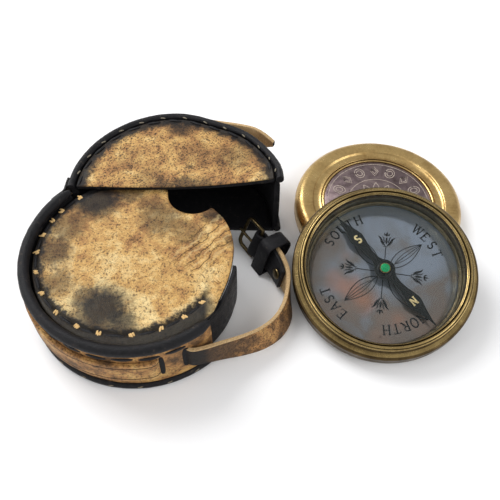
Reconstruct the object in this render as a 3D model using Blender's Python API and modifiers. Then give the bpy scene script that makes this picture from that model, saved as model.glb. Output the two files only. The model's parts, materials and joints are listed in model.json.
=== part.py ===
"""A brass pocket compass with its screw-on lid and its round leather carrying case.

The case lies open on its back at the left, the lid lies flat at the right with its outer
face up, and the compass leans on the lid, so that its dial faces forwards.
Units: metres, +Z up. Dimensions below are written in millimetres and scaled by MM.
"""
import math

import bmesh
import bpy
from mathutils import Euler, Matrix, Vector

MM = 0.001
TURN_STEPS = 48          # facets round a turned brass piece
SMALL_TURN_STEPS = 24    # facets round a piece a few millimetres across

# Places on the table, in millimetres. The origin is under the middle of the whole set.
SHIFT = Vector((-2.344, 3.86))
POUCH_CENTRE = Vector((-44.8, -21.9)) + SHIFT
LID_CENTRE = Vector((57.6, 22.3)) + SHIFT
COMPASS_FOOT = Vector((55.0, -18.4)) + SHIFT
COMPASS_TILT = math.radians(13.5)
COMPASS_HEADING = math.radians(-9.4)

# Compass body, heights above its own underside.
BODY_RADIUS = 37.5
FOOT_RADIUS = 33.0
NECK_RADIUS = 34.7
THREAD_DEPTH = 0.45
THREAD_PITCH = 0.6
THREAD_TURNS = 3
SHOULDER_HEIGHT = 9.3
NECK_TOP = 11.9
RIM_HEIGHT = 13.8
RIM_CREST_RADIUS = 33.35
BORE_RADIUS = 31.4
GLASS_SEAT_HEIGHT = 10.6
GLASS_SEAT_RADIUS = 33.2
CUP_FLOOR = 1.8
DIAL_TOP = 5.6
DIAL_THICK = 0.9
DIAL_RADIUS = 31.1
GLASS_BOTTOM = 11.3
GLASS_THICK = 0.7
NEEDLE_BOTTOM = 8.8
NEEDLE_THICK = 0.45
NEEDLE_REACH = 30.0
NEEDLE_HEADING = math.radians(-42.6)   # north end, from the compass's own +X

# Lid, heights above the table.
LID_HEIGHT = 9.05
LID_BORE_RADIUS = 35.5
LID_BORE_DEPTH = 5.0
MEDALLION_RADIUS = 25.5

# Leather case: a round drum cut across its middle into a pouch and a hood.
CASE_HEIGHT = 30.0
CASE_RADIUS = 45.1
LEATHER = 2.2
WALL_OUTER = 43.6
WALL_INNER = 41.3
POUCH_START = math.radians(135)
POUCH_END = math.radians(315)
HOOD_OPEN = math.radians(45)
MOUTH_GAP = 0.4
FRONT_TOP = 26.4
FRONT_RADIUS = 40.3
HOOD_FRONT_BOTTOM = 27.2
WELT_RADIUS = 2.25
THIN_WELT_RADIUS = 1.6
BACK_BOTTOM = 0.0
WELT_DROP = 0.866         # half the height of the six-sided piping, over its radius

# Strap: one long belt round the drum.
STRAP_WIDTH = 12.0
STRAP_THICK = 1.7
STRAP_RADIUS = 44.8
STRAP_LOW = 9.0
TONGUE_LOW = 15.3
SLIT_A = math.radians(285.3)
SLIT_B = math.radians(300.6)
SLIT_WIDTH = 4.4

LOOP_ROUTE = [           # middle line of the free loop: plan, height, lean in degrees
    (-23.4, -58.7, 15.0, 0), (-20.8, -59.8, 14.7, 0), (-16.4, -58.1, 13.3, 0),
    (-9.6, -54.8, 10.9, -4), (-1.8, -51.4, 8.8, -10),
    (5.6, -47.4, 7.4, -16), (11.6, -42.0, 6.7, -19), (15.2, -34.9, 6.6, -16), (16.0, -27.0, 6.9, -5),
    (15.0, -19.9, 7.3, 10), (12.4, -13.6, 7.5, 20), (9.3, -8.4, 7.6, 25), (6.5, -4.3, 7.5, 25)]

# Buckle, and the strap's end folded round its bar.
WIRE_RADIUS = 0.85
PRONG_RADIUS = 0.65
FRAME_WIDTH = 14.3       # between the centres of its two long sides
FRAME_LENGTH = 9.6
BAR_OFFSET = 3.4
FOLD_GAP = 0.35
FOLD_REACH = STRAP_THICK / 2 + WIRE_RADIUS + 0.3
FOLD_LENGTH = 19.0
FOLD_WIDTH = 11.0
KEEPER_BACK = 3.3
KEEPER_LENGTH = 6.8
KEEPER_INNER = 6.2


def clear_scene():
    for obj in list(bpy.data.objects):
        bpy.data.objects.remove(obj, do_unlink=True)


def make_collection(name):
    collection = bpy.data.collections.new(name)
    bpy.context.scene.collection.children.link(collection)
    return collection


clear_scene()
PARTS = make_collection("compass_set")
CUTTERS = make_collection("cutters")


def material(name, colour, roughness, metallic):
    made = bpy.data.materials.new(name)
    made.use_nodes = True
    shader = made.node_tree.nodes["Principled BSDF"]
    shader.inputs["Base Color"].default_value = (*colour, 1.0)
    shader.inputs["Roughness"].default_value = roughness
    shader.inputs["Metallic"].default_value = metallic
    made.diffuse_color = (*colour, 1.0)
    return made


BRASS = material("aged_brass", (0.42, 0.29, 0.10), 0.35, 1.0)
DARK_BRASS = material("dark_brass", (0.16, 0.12, 0.06), 0.45, 1.0)
COPPER = material("copper", (0.33, 0.20, 0.17), 0.3, 1.0)
STEEL = material("blued_steel", (0.05, 0.06, 0.06), 0.35, 1.0)
GREEN = material("green_jewel", (0.0, 0.45, 0.2), 0.3, 0.0)
GLASS = material("glass", (0.9, 0.95, 0.95), 0.05, 0.0)
TAN = material("tan_leather", (0.45, 0.30, 0.14), 0.7, 0.0)
BLACK = material("black_leather", (0.02, 0.02, 0.025), 0.6, 0.0)
CORK = material("gasket", (0.10, 0.08, 0.06), 0.8, 0.0)


def add(name, data, mat, parent=None, collection=None):
    obj = bpy.data.objects.new(name, data)
    (collection or PARTS).objects.link(obj)
    obj.data.materials.append(mat)
    obj.parent = parent
    return obj


def polar(radius, angle, centre=(0.0, 0.0)):
    return Vector((centre[0] + radius * math.cos(angle), centre[1] + radius * math.sin(angle)))


def arc_points(centre, radius, start, end, count):
    return [polar(radius, start + (end - start) * i / (count - 1), centre) for i in range(count)]


def profile_arc(centre, radius, start_deg, end_deg, count):
    """Points of a rounded edge in a turned profile, as (radius, height)."""
    return [tuple(polar(radius, math.radians(a), centre)) for a in
            [start_deg + (end_deg - start_deg) * i / (count - 1) for i in range(count)]]


def turned(name, profile, mat, parent, steps=TURN_STEPS, closed=False):
    """A profile of (radius, height) turned about Z. The outer side runs from top to bottom."""
    mesh = bpy.data.meshes.new(name)
    verts = [(r * MM, 0.0, z * MM) for r, z in profile]
    edges = [(i, i + 1) for i in range(len(verts) - 1)]
    if closed:
        edges.append((len(verts) - 1, 0))
    mesh.from_pydata(verts, edges, [])
    obj = add(name, mesh, mat, parent)
    screw = obj.modifiers.new("turn", "SCREW")
    screw.steps = steps
    screw.render_steps = steps
    screw.use_merge_vertices = True
    screw.merge_threshold = 0.00005
    screw.use_smooth_shade = True
    return obj


def flat_outline(name, loops, bottom, thickness, mat, parent=None, centre=(0.0, 0.0)):
    """A flat sheet cut to the given loops (the first is its edge, others are holes)."""
    curve = bpy.data.curves.new(name, "CURVE")
    curve.dimensions = "2D"
    curve.fill_mode = "BOTH"
    curve.extrude = thickness / 2 * MM
    for loop in loops:
        spline = curve.splines.new("POLY")
        spline.points.add(len(loop) - 1)
        for point, (x, y) in zip(spline.points, loop):
            point.co = (x * MM, y * MM, 0.0, 1.0)
        spline.use_cyclic_u = True
    obj = add(name, curve, mat, parent)
    obj.location = (centre[0] * MM, centre[1] * MM, (bottom + thickness / 2) * MM)
    return obj


def tube(name, points, radius, mat, parent=None, cyclic=False, resolution=2):
    """A round bar or piping of the given radius along points in millimetres."""
    curve = bpy.data.curves.new(name, "CURVE")
    curve.dimensions = "3D"
    curve.fill_mode = "FULL"
    curve.bevel_depth = radius * MM
    curve.bevel_resolution = resolution
    curve.use_fill_caps = True
    curve.twist_mode = "Z_UP"
    spline = curve.splines.new("POLY")
    spline.points.add(len(points) - 1)
    for point, co in zip(spline.points, points):
        point.co = (co[0] * MM, co[1] * MM, co[2] * MM, 1.0)
    spline.use_cyclic_u = cyclic
    return add(name, curve, mat, parent)


def upright_sheet(name, path, lows, height, thickness, mat, parent=None):
    """A band of leather standing on its edge: path in plan, its lower edge at lows."""
    mesh = bpy.data.meshes.new(name)
    count = len(path)
    verts = [(x * MM, y * MM, low * MM) for (x, y), low in zip(path, lows)]
    verts += [(x * MM, y * MM, (low + height) * MM) for (x, y), low in zip(path, lows)]
    faces = [(i, i + 1, count + i + 1, count + i) for i in range(count - 1)]
    mesh.from_pydata(verts, [], faces)
    obj = add(name, mesh, mat, parent)
    solidify = obj.modifiers.new("leather", "SOLIDIFY")
    solidify.thickness = thickness * MM
    solidify.offset = 0.0
    solidify.use_even_offset = True
    return obj


def smooth_path(points, per_span):
    """A Catmull-Rom curve through the points, in any number of dimensions."""
    found = []
    last = len(points) - 1
    for i in range(last):
        p0, p1 = points[max(i - 1, 0)], points[i]
        p2, p3 = points[i + 1], points[min(i + 2, last)]
        for step in range(per_span):
            t = step / per_span
            found.append(tuple(
                0.5 * (2 * b + (c - a) * t + (2 * a - 5 * b + 4 * c - d) * t * t
                       + (3 * b - a - 3 * c + d) * t ** 3)
                for a, b, c, d in zip(p0, p1, p2, p3)))
    found.append(tuple(points[-1]))
    return found


def box_cutter(name, centre, size, angle=0.0):
    mesh = bpy.data.meshes.new(name)
    bm = bmesh.new()
    bmesh.ops.create_cube(bm, size=1.0, matrix=Matrix.Diagonal((*[s * MM for s in size], 1.0)))
    bm.to_mesh(mesh)
    bm.free()
    obj = bpy.data.objects.new(name, mesh)
    CUTTERS.objects.link(obj)
    obj.location = tuple(c * MM for c in centre)
    obj.rotation_euler = (0.0, 0.0, angle)
    obj.hide_render = True
    obj.display_type = "WIRE"
    return obj


def cut(obj, cutter):
    boolean = obj.modifiers.new("cut_" + cutter.name, "BOOLEAN")
    boolean.operation = "DIFFERENCE"
    boolean.object = cutter


def empty(name, location, rotation=(0.0, 0.0, 0.0), parent=None):
    obj = bpy.data.objects.new(name, None)
    PARTS.objects.link(obj)
    obj.location = tuple(c * MM for c in location)
    obj.rotation_euler = rotation
    obj.parent = parent
    return obj


# ---------------------------------------------------------------- compass body

def thread_profile(top):
    """Rounded ridges of the screw thread on the neck, from the top down."""
    points = []
    for turn in range(THREAD_TURNS):
        z = top - turn * THREAD_PITCH
        points += [(NECK_RADIUS, z), (NECK_RADIUS + THREAD_DEPTH, z - THREAD_PITCH / 2)]
    return points + [(NECK_RADIUS, top - THREAD_TURNS * THREAD_PITCH)]


def cup_profile():
    inner = [(0.0, CUP_FLOOR), (BORE_RADIUS, CUP_FLOOR), (BORE_RADIUS, GLASS_SEAT_HEIGHT),
             (GLASS_SEAT_RADIUS, GLASS_SEAT_HEIGHT), (GLASS_SEAT_RADIUS, NECK_TOP)]
    neck = [(NECK_RADIUS, NECK_TOP)] + thread_profile(NECK_TOP - 0.35)
    shoulder = [(NECK_RADIUS, SHOULDER_HEIGHT), (BODY_RADIUS - 1.0, SHOULDER_HEIGHT)]
    belly = profile_arc((BODY_RADIUS - 1.0, SHOULDER_HEIGHT - 1.0), 1.0, 60, 0, 3)
    heel = profile_arc((BODY_RADIUS - 4.5, 4.5), 4.5, 0, -75, 6)
    return inner + neck + shoulder + belly + heel + [(FOOT_RADIUS, 0.0), (0.0, 0.0)]


def lowest_drop(profile):
    """How far a tilted turned shape reaches below its own origin."""
    return max(r * math.sin(COMPASS_TILT) - z * math.cos(COMPASS_TILT) for r, z in profile)


def build_compass():
    cup = cup_profile()
    frame = empty("compass_frame", (*COMPASS_FOOT, lowest_drop(cup)),
                  (COMPASS_TILT, 0.0, COMPASS_HEADING))
    turned("base_cup", cup, DARK_BRASS, frame)

    ring_top = DIAL_TOP - DIAL_THICK - 0.25
    turned("dial_seat_ring", [(27.5, ring_top), (DIAL_RADIUS, ring_top),
                              (DIAL_RADIUS, CUP_FLOOR + 0.3), (27.5, CUP_FLOOR + 0.3)],
           DARK_BRASS, frame, closed=True)
    turned("dial_plate", [(1.8, DIAL_TOP), (DIAL_RADIUS, DIAL_TOP),
                          (DIAL_RADIUS, DIAL_TOP - DIAL_THICK), (1.8, DIAL_TOP - DIAL_THICK)],
           COPPER, frame, closed=True)
    turned("dial_ring", [(30.1, DIAL_TOP + 0.25), (30.3, DIAL_TOP + 1.0), (31.15, DIAL_TOP + 1.5),
                         (31.15, DIAL_TOP + 0.25)], BRASS, frame, closed=True)
    turned("glass_gasket", [(31.6, 11.05), (33.0, 11.05), (33.0, 10.8), (31.6, 10.8)],
           CORK, frame, closed=True)
    turned("glass", [(0.0, GLASS_BOTTOM + GLASS_THICK), (32.9, GLASS_BOTTOM + GLASS_THICK),
                     (32.9, GLASS_BOTTOM), (0.0, GLASS_BOTTOM)], GLASS, frame)
    rim_low = NECK_TOP + 0.3
    turned("bezel_ring",
           [(31.95, 12.8), (32.35, 13.4), (RIM_CREST_RADIUS, RIM_HEIGHT), (34.3, 13.5),
            (34.8, 12.8), (34.8, rim_low), (31.95, rim_low)], BRASS, frame, closed=True)

    turned("pivot_post",
           [(0.0, 7.5), (0.9, 7.5), (1.2, DIAL_TOP + 0.8), (2.9, DIAL_TOP + 0.7),
            (2.9, DIAL_TOP + 0.25), (1.5, DIAL_TOP + 0.25), (1.5, CUP_FLOOR + 0.3),
            (0.0, CUP_FLOOR + 0.3)], BRASS, frame, SMALL_TURN_STEPS)
    turned("pivot_pin", [(0.0, 9.9), (0.42, 9.0), (0.42, 7.75), (0.0, 7.75)],
           STEEL, frame, SMALL_TURN_STEPS)
    build_needle(frame)


def blade_outline():
    """One long lozenge blade each way from a round eye, widest under the letters."""
    half = [(29.9, 0.15), (26.5, 0.55), (22.6, 1.5), (19.6, 2.5), (17.4, 3.0), (13.5, 2.1), (8.5, 1.45),
            (4.6, 1.7)]
    right = [(x, y) for x, y in half]
    eye_top = [tuple(polar(4.4, math.radians(a))) for a in (60, 90, 120)]
    left = [(-x, y) for x, y in reversed(half)]
    upper = right + eye_top + left
    return upper + [(x, -y) for x, y in reversed(upper)]


def build_needle(frame):
    spin = empty("needle_pivot", (0.0, 0.0, 0.0), (0.0, 0.0, NEEDLE_HEADING), frame)
    eye = [tuple(polar(3.3, math.tau * i / 16)) for i in range(16)]
    flat_outline("needle_blade", [blade_outline(), eye], NEEDLE_BOTTOM, NEEDLE_THICK, STEEL, spin)
    turned("needle_hub",
           [(0.0, 10.4), (2.1, 10.4), (2.4, 10.1), (3.0, NEEDLE_BOTTOM - 0.3),
            (3.9, NEEDLE_BOTTOM - 0.3), (3.9, NEEDLE_BOTTOM - 0.9), (1.4, NEEDLE_BOTTOM - 0.9),
            (0.9, 9.6), (0.0, 10.15)], STEEL, spin, SMALL_TURN_STEPS)
    turned("needle_jewel", [(0.0, 11.05), (1.5, 11.0), (1.85, 10.85), (1.85, 10.65), (0.0, 10.65)],
           GREEN, spin, SMALL_TURN_STEPS)


# ---------------------------------------------------------------- lid

def lid_profile():
    bore = [(0.0, LID_BORE_DEPTH + 0.5), (33.0, LID_BORE_DEPTH + 0.5),
            (LID_BORE_RADIUS, LID_BORE_DEPTH - 0.6)]
    thread = []
    for turn in range(THREAD_TURNS):
        z = 3.4 - turn * THREAD_PITCH
        thread += [(LID_BORE_RADIUS, z), (LID_BORE_RADIUS + 0.35, z - THREAD_PITCH / 2)]
    inside = bore + thread + [(LID_BORE_RADIUS, 1.3), (LID_BORE_RADIUS + 0.4, 0.0)]
    skirt = [(37.2, 0.0), (BODY_RADIUS, 0.4), (BODY_RADIUS, 3.6)]
    crown = profile_arc((33.2, LID_HEIGHT - 4.3), 4.3, 16, 98, 8)
    cove = [(30.1, 8.55), (29.6, 8.45), (29.1, 7.95), (27.9, 7.6), (26.6, 7.75), (25.8, 7.95),
            (25.8, 6.7), (0.0, 6.7)]
    return list(reversed(inside + skirt + crown + cove))


def build_lid():
    frame = empty("lid_frame", (*LID_CENTRE, 0.0))
    turned("lid_shell", lid_profile(), BRASS, frame)
    turned("medallion_ring", [(24.4, 7.6), (24.8, 7.95), (MEDALLION_RADIUS, 7.7),
                              (MEDALLION_RADIUS, 6.95), (24.4, 6.95)], BRASS, frame, closed=True)
    turned("lid_medallion", [(0.0, 7.5), (24.1, 7.5), (24.1, 6.95), (0.0, 6.95)], COPPER, frame)


# ---------------------------------------------------------------- leather case

def drum_arc(name, centre, radius, start, end, low, height, thickness, mat, parent=None):
    count = 25
    path = arc_points(centre, radius, start, end, count)
    return upright_sheet(name, path, [low] * count, height, thickness, mat, parent)


def welt(name, centre, radius, start, end, height, mat, parent=None):
    """Round leather piping along the drum's edge."""
    reach = CASE_RADIUS - radius
    points = [(*p, height) for p in arc_points(centre, reach, start, end, 25)]
    return tube(name, points, radius, mat, parent, resolution=1)


def front_outline():
    """The pouch's front: a disc whose free edge is tucked into the hood, with a thumb notch."""
    stitched = [tuple(p) for p in arc_points((0, 0), FRONT_RADIUS, math.radians(100),
                                             math.radians(322), 30)]
    free = [(34.0, -18.6), (36.6, -11.0), (38.0, -3.0), (38.4, 5.0), (37.0, 12.5),
            (33.8, 19.3)]
    notch_middle = Vector((21.0, 32.2))
    notch = [tuple(polar(10.9, math.radians(a), notch_middle)) for a in
             (-40, -58, -76, -94, -112, -130, -148, -166)]
    return stitched + free + notch + [(9.6, 36.4), (4.5, 39.2)]


def build_pouch():
    centre = POUCH_CENTRE
    half = arc_points((0, 0), WALL_INNER - 0.4, POUCH_START, POUCH_END, 25)
    flat_outline("pouch_back", [half], BACK_BOTTOM, LEATHER, TAN, centre=centre)
    wall_low = 2 * WELT_DROP * THIN_WELT_RADIUS + 0.3
    wall_top = CASE_HEIGHT - 2 * WELT_DROP * WELT_RADIUS - 0.3
    wall = drum_arc("pouch_wall", centre, (WALL_OUTER + WALL_INNER) / 2, POUCH_START, POUCH_END,
                    wall_low, wall_top - wall_low, WALL_OUTER - WALL_INNER, TAN)
    for label, angle in (("slit_a", SLIT_A), ("slit_b", SLIT_B)):
        middle = polar((WALL_OUTER + WALL_INNER) / 2, angle, centre)
        cut(wall, box_cutter(label, (*middle, STRAP_LOW + STRAP_WIDTH / 2),
                             (8.0, SLIT_WIDTH, STRAP_WIDTH + 0.8), angle))
    welt("pouch_welt_top", centre, WELT_RADIUS, POUCH_START, POUCH_END,
         CASE_HEIGHT - WELT_DROP * WELT_RADIUS, BLACK)
    welt("pouch_welt_bottom", centre, THIN_WELT_RADIUS, POUCH_START, POUCH_END,
         WELT_DROP * THIN_WELT_RADIUS, BLACK)
    flat_outline("pouch_front", [front_outline()], FRONT_TOP - LEATHER, LEATHER, TAN, centre=centre)
    drum_arc("wall_tongue", centre, 40.0, math.radians(303.5), math.radians(354), 2.9, 20.9, 1.8, BLACK)


def hood_mount():
    """The hinge pin line, and the hood's frame turned open about it."""
    pin = polar(CASE_RADIUS + 0.2, POUCH_START, POUCH_CENTRE)
    hinge = empty("hood_hinge", (*pin, 0.0), (0.0, 0.0, HOOD_OPEN))
    closed_centre = POUCH_CENTRE - pin
    return empty("hood_frame", (*closed_centre, 0.0), (0.0, 0.0, 0.0), hinge)


def build_hood():
    """Built as if shut on the pouch, round the pouch's own centre; the hinge empty opens it."""
    frame = hood_mount()
    start, end = POUCH_START - math.pi, POUCH_START
    lean = math.asin(MOUTH_GAP / WALL_INNER)
    half = arc_points((0, 0), WALL_INNER - 0.4, start + lean, end - lean, 25)
    low = 2 * WELT_DROP * THIN_WELT_RADIUS + 0.3
    origin = (0.0, 0.0)
    flat_outline("hood_back", [half], BACK_BOTTOM, LEATHER, TAN, frame)
    flat_outline("hood_front", [half], HOOD_FRONT_BOTTOM, LEATHER, TAN, frame)
    drum_arc("hood_wall", origin, (WALL_OUTER + WALL_INNER) / 2, start + lean, end - lean,
             low, CASE_HEIGHT - 2 * low, WALL_OUTER - WALL_INNER, TAN, frame)
    welt("hood_welt_top", origin, THIN_WELT_RADIUS, start + lean, end - lean,
         CASE_HEIGHT - WELT_DROP * THIN_WELT_RADIUS, BLACK, frame)
    welt("hood_welt_bottom", origin, THIN_WELT_RADIUS, start + lean, end - lean,
         WELT_DROP * THIN_WELT_RADIUS, BLACK, frame)
    build_tongue(frame)


# ---------------------------------------------------------------- strap and buckle

def build_tongue(frame):
    """The strap's pointed free end: round the back of the hood, then straight off it."""
    on_wall = arc_points((0, 0), STRAP_RADIUS, math.radians(131), math.radians(50), 16)
    leave, heading = on_wall[-1], math.radians(50 - 90)
    free = [leave + polar(6.7 * i, heading - 0.045 * i) for i in range(1, 8)]
    path = [tuple(p) for p in on_wall + free]
    lows = [STRAP_LOW + (TONGUE_LOW - STRAP_LOW) * min(1.0, i / 17.5) for i in range(len(path))]
    tongue = upright_sheet("strap_tongue", path, lows, STRAP_WIDTH, STRAP_THICK, TAN, frame)
    cutter = box_cutter("tongue_tip", (*path[-1], lows[-1] + STRAP_WIDTH + 3.4), (22.0, 12.0, 12.0))
    cutter.rotation_euler = Euler((0.0, math.radians(24), heading - 0.62))
    cutter.parent = frame
    cut(tongue, cutter)


class StrapPoint:
    """A place on the free loop's middle line, with the way it runs, faces and stands."""

    def __init__(self, middle, ahead, lean):
        self.middle = Vector(middle)
        self.ahead = Vector((ahead[0], ahead[1], 0.0)).normalized()
        outward = Vector((self.ahead.y, -self.ahead.x, 0.0))
        up = Vector((0.0, 0.0, 1.0))
        self.across = outward * math.sin(lean) + up * math.cos(lean)
        self.inward = up * math.sin(lean) - outward * math.cos(lean)

    def shifted(self, along, inward):
        moved = StrapPoint(self.middle + self.ahead * along + self.inward * inward, self.ahead, 0.0)
        moved.across, moved.inward = self.across, self.inward
        return moved


def loop_points():
    route = smooth_path([(x + SHIFT.x, y + SHIFT.y, z, math.radians(lean))
                         for x, y, z, lean in LOOP_ROUTE], 3)
    points = []
    for i, (x, y, z, lean) in enumerate(route):
        back, front = route[max(i - 1, 0)], route[min(i + 1, len(route) - 1)]
        points.append(StrapPoint((x, y, z), (front[0] - back[0], front[1] - back[1]), lean))
    return points


def strap_sheet(name, points, width, mat):
    """A band of leather whose edges follow the lean of each point."""
    mesh = bpy.data.meshes.new(name)
    count = len(points)
    verts = [tuple((p.middle - p.across * width / 2) * MM) for p in points]
    verts += [tuple((p.middle + p.across * width / 2) * MM) for p in points]
    faces = [(i, i + 1, count + i + 1, count + i) for i in range(count - 1)]
    mesh.from_pydata(verts, [], faces)
    obj = add(name, mesh, mat)
    solidify = obj.modifiers.new("leather", "SOLIDIFY")
    solidify.thickness = STRAP_THICK * MM
    solidify.offset = 0.0
    solidify.use_even_offset = True
    return obj


def build_strap():
    centre = POUCH_CENTRE
    band = arc_points(centre, STRAP_RADIUS, math.radians(137.5), SLIT_A - math.radians(3.2), 30)
    band += [polar(STRAP_RADIUS - 0.4, SLIT_A - math.radians(1.5), centre),
             polar(STRAP_RADIUS - 1.2, SLIT_A - math.radians(0.5), centre),
             polar(STRAP_RADIUS - 2.1, SLIT_A + math.radians(0.3), centre)]
    upright_sheet("strap_band", band, [STRAP_LOW] * len(band), STRAP_WIDTH, STRAP_THICK, TAN)
    drum_arc("strap_tuck", centre, 40.1, SLIT_A, SLIT_B, STRAP_LOW, STRAP_WIDTH, STRAP_THICK, TAN)
    loop = loop_points()
    strap_sheet("strap_loop", loop, STRAP_WIDTH, TAN)
    bar = loop[-1].shifted(BAR_OFFSET, FOLD_REACH)
    build_fold(loop, bar)
    build_keeper(loop[-1].shifted(BAR_OFFSET, 0.0))
    build_buckle(bar)
    strip = [polar(CASE_RADIUS + 1.3, POUCH_START + math.radians(a), centre) for a in (9.0, 5.0, 1.0)]
    upright_sheet("hinge_leather", strip, [3.0] * 3, CASE_HEIGHT - 6.0, 1.2, BLACK)


def strap_axes(point):
    """Rotation with X the way the strap runs, Y inward and Z across its width."""
    return Matrix((point.ahead, point.inward, point.across)).transposed()


def build_fold(loop, bar):
    """The strap's end, folded round the buckle's bar and riveted back on itself."""
    around = [bar.shifted(FOLD_REACH * math.sin(a), -FOLD_REACH * math.cos(a))
              for a in [math.pi * i / 8 for i in range(9)]]
    start = [bar.shifted(0.3 - BAR_OFFSET, -FOLD_REACH)]
    step_down = [bar.shifted(-1.2, FOLD_REACH - 0.35), bar.shifted(-2.3, FOLD_REACH - 1.1)]
    back, gone = [], 0.0
    for here, before in zip(reversed(loop), reversed(loop[:-1])):
        if gone <= FOLD_LENGTH:
            back.append(here.shifted(0.0, FOLD_GAP + STRAP_THICK))
        gone += (here.middle - before.middle).length
    fold = strap_sheet("strap_fold", start + around + step_down + back, FOLD_WIDTH, BLACK)
    slot = box_cutter("prong_slot", bar.shifted(0.9, 0.0).middle, (7.2, 8.0, 3.0))
    slot.rotation_euler = strap_axes(bar).to_euler()
    cut(fold, slot)

    face = back[-4].shifted(0.0, STRAP_THICK / 2 + 0.75)
    head = empty("rivet_frame", face.middle)
    head.rotation_euler = face.inward.to_track_quat("Z", "Y").to_euler()
    turned("fold_rivet", [(0.0, 0.55), (1.6, 0.35), (2.4, -0.05), (2.4, -0.35), (0.0, -0.35)],
           DARK_BRASS, head, SMALL_TURN_STEPS)


def build_keeper(place):
    """A small leather loop round the strap, standing open on its outer side."""
    heading = math.atan2(place.ahead.y, place.ahead.x)
    hole = [(-KEEPER_INNER, 1.45), (-1.9, 13.95), (3.6, 13.95), (6.7, 13.1), (7.6, 10.6), (6.0, 7.2),
            (3.2, 4.0), (0.6, 1.45)]
    outline = [(-KEEPER_INNER - 1.4, 0.35), (-2.4, 14.85), (3.8, 14.85), (7.5, 13.9), (8.7, 10.8),
               (7.0, 6.7), (4.0, 3.2), (1.2, 0.35)]
    middle = place.middle - place.ahead * (KEEPER_BACK + KEEPER_LENGTH / 2)
    frame = empty("keeper_frame", (middle.x, middle.y, 0.0), (0.0, 0.0, heading))
    ring = flat_outline("keeper_loop", [outline, hole], 0.0, KEEPER_LENGTH, BLACK, frame)
    # The outline is drawn outward (X) and up (Y), then stood up across the strap.
    ring.rotation_euler = (math.radians(90), 0.0, math.radians(-90))
    ring.location = (0.0, 0.0, 0.0)


def build_buckle(bar):
    frame = empty("buckle_hinge", bar.middle)
    frame.rotation_euler = strap_axes(bar).to_euler()
    half = FRAME_WIDTH / 2
    corner = 2.4
    far = [(FRAME_LENGTH - corner + corner * math.sin(a), 0.0, half - corner + corner * math.cos(a))
           for a in [math.radians(d) for d in (0, 30, 60, 90)]]
    loop = [(0.0, 0.0, -half), (0.0, 0.0, half)] + far + [(x, y, -z) for x, y, z in reversed(far)]
    tube("buckle_frame", loop, WIRE_RADIUS, DARK_BRASS, frame, cyclic=True)

    prong = empty("prong_hinge", (0.0, 0.0, 0.0), (0.0, 0.0, 0.0), frame)
    reach = WIRE_RADIUS + PRONG_RADIUS + 0.15
    eye = [(reach * math.cos(a), reach * math.sin(a), 0.0) for a in
           [math.radians(d) for d in range(90, 351, 30)]]
    shaft = [(FRAME_LENGTH + 1.0, reach + 0.05, 0.0), (6.0, reach + 0.25, 0.0), (2.2, reach + 0.1, 0.0)]
    tube("buckle_prong", shaft + eye, PRONG_RADIUS, DARK_BRASS, prong, resolution=1)


build_compass()
build_lid()
build_pouch()
build_hood()
build_strap()
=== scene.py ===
import json
import math

import bmesh
import bpy
from mathutils import Matrix, Vector, noise


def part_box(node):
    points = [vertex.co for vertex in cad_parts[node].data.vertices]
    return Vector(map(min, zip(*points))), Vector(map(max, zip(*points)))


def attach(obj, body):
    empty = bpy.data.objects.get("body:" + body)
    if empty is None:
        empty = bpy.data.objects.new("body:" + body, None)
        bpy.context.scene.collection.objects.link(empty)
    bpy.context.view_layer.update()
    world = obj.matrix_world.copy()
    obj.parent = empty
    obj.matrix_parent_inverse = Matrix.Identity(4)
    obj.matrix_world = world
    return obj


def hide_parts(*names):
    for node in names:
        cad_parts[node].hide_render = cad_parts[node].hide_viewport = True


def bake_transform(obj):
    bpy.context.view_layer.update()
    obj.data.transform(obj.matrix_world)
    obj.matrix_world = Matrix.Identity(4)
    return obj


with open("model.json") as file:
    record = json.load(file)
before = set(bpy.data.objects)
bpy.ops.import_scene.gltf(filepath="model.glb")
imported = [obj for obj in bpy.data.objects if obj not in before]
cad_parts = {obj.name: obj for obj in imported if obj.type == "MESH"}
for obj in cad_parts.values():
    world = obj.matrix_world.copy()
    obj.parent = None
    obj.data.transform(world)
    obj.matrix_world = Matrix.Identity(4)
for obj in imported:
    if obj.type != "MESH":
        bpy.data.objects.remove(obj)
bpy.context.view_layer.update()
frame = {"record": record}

MM = 0.001
TAU = math.tau

# ---------------------------------------------------------------- places, from the record

JOINTS = {j["name"]: j for j in frame["record"]["behaviour"]["joints"]}


def joint_point(name):
    return Vector(JOINTS[name]["pos_m"])


def middle_of(node):
    low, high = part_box(node)
    return (Vector(low) + Vector(high)) / 2


def facing(degrees):
    """The level direction that points this way."""
    return Vector((math.cos(math.radians(degrees)), math.sin(math.radians(degrees)), 0.0))


def axes_matrix(x, y, z, origin):
    rotation = Matrix((x, y, z)).transposed()
    return Matrix.Translation(origin) @ rotation.to_4x4()


UP = Vector((0.0, 0.0, 1.0))
HINGE_RADIUS = 45.3
HINGE = joint_point("hood_swing")
DIAGONAL = facing(135)
POUCH = Matrix.Translation(HINGE - DIAGONAL * HINGE_RADIUS * MM)
HOOD = (Matrix.Translation(HINGE) @ Matrix.Rotation(math.radians(45), 4, "Z")
        @ Matrix.Translation(-DIAGONAL * HINGE_RADIUS * MM))
DIAL_AXIS = Vector(JOINTS["needle_spin"]["axis"]).normalized()
DIAL_ACROSS = Vector((-DIAL_AXIS.y, DIAL_AXIS.x, 0.0)).normalized()
COMPASS = axes_matrix(DIAL_ACROSS, DIAL_AXIS.cross(DIAL_ACROSS), DIAL_AXIS, joint_point("needle_spin"))
NEEDLE_HEADING = math.radians(-42.6)
NEEDLE = COMPASS @ Matrix.Rotation(NEEDLE_HEADING, 4, "Z")
LID = Matrix.Translation((*middle_of("lid_shell").xy, 0.0))
BUCKLE_UP = Vector(JOINTS["buckle_swing"]["axis"]).normalized()
BUCKLE_AHEAD = Vector((-0.57306, 0.81951, 0.0))
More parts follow.
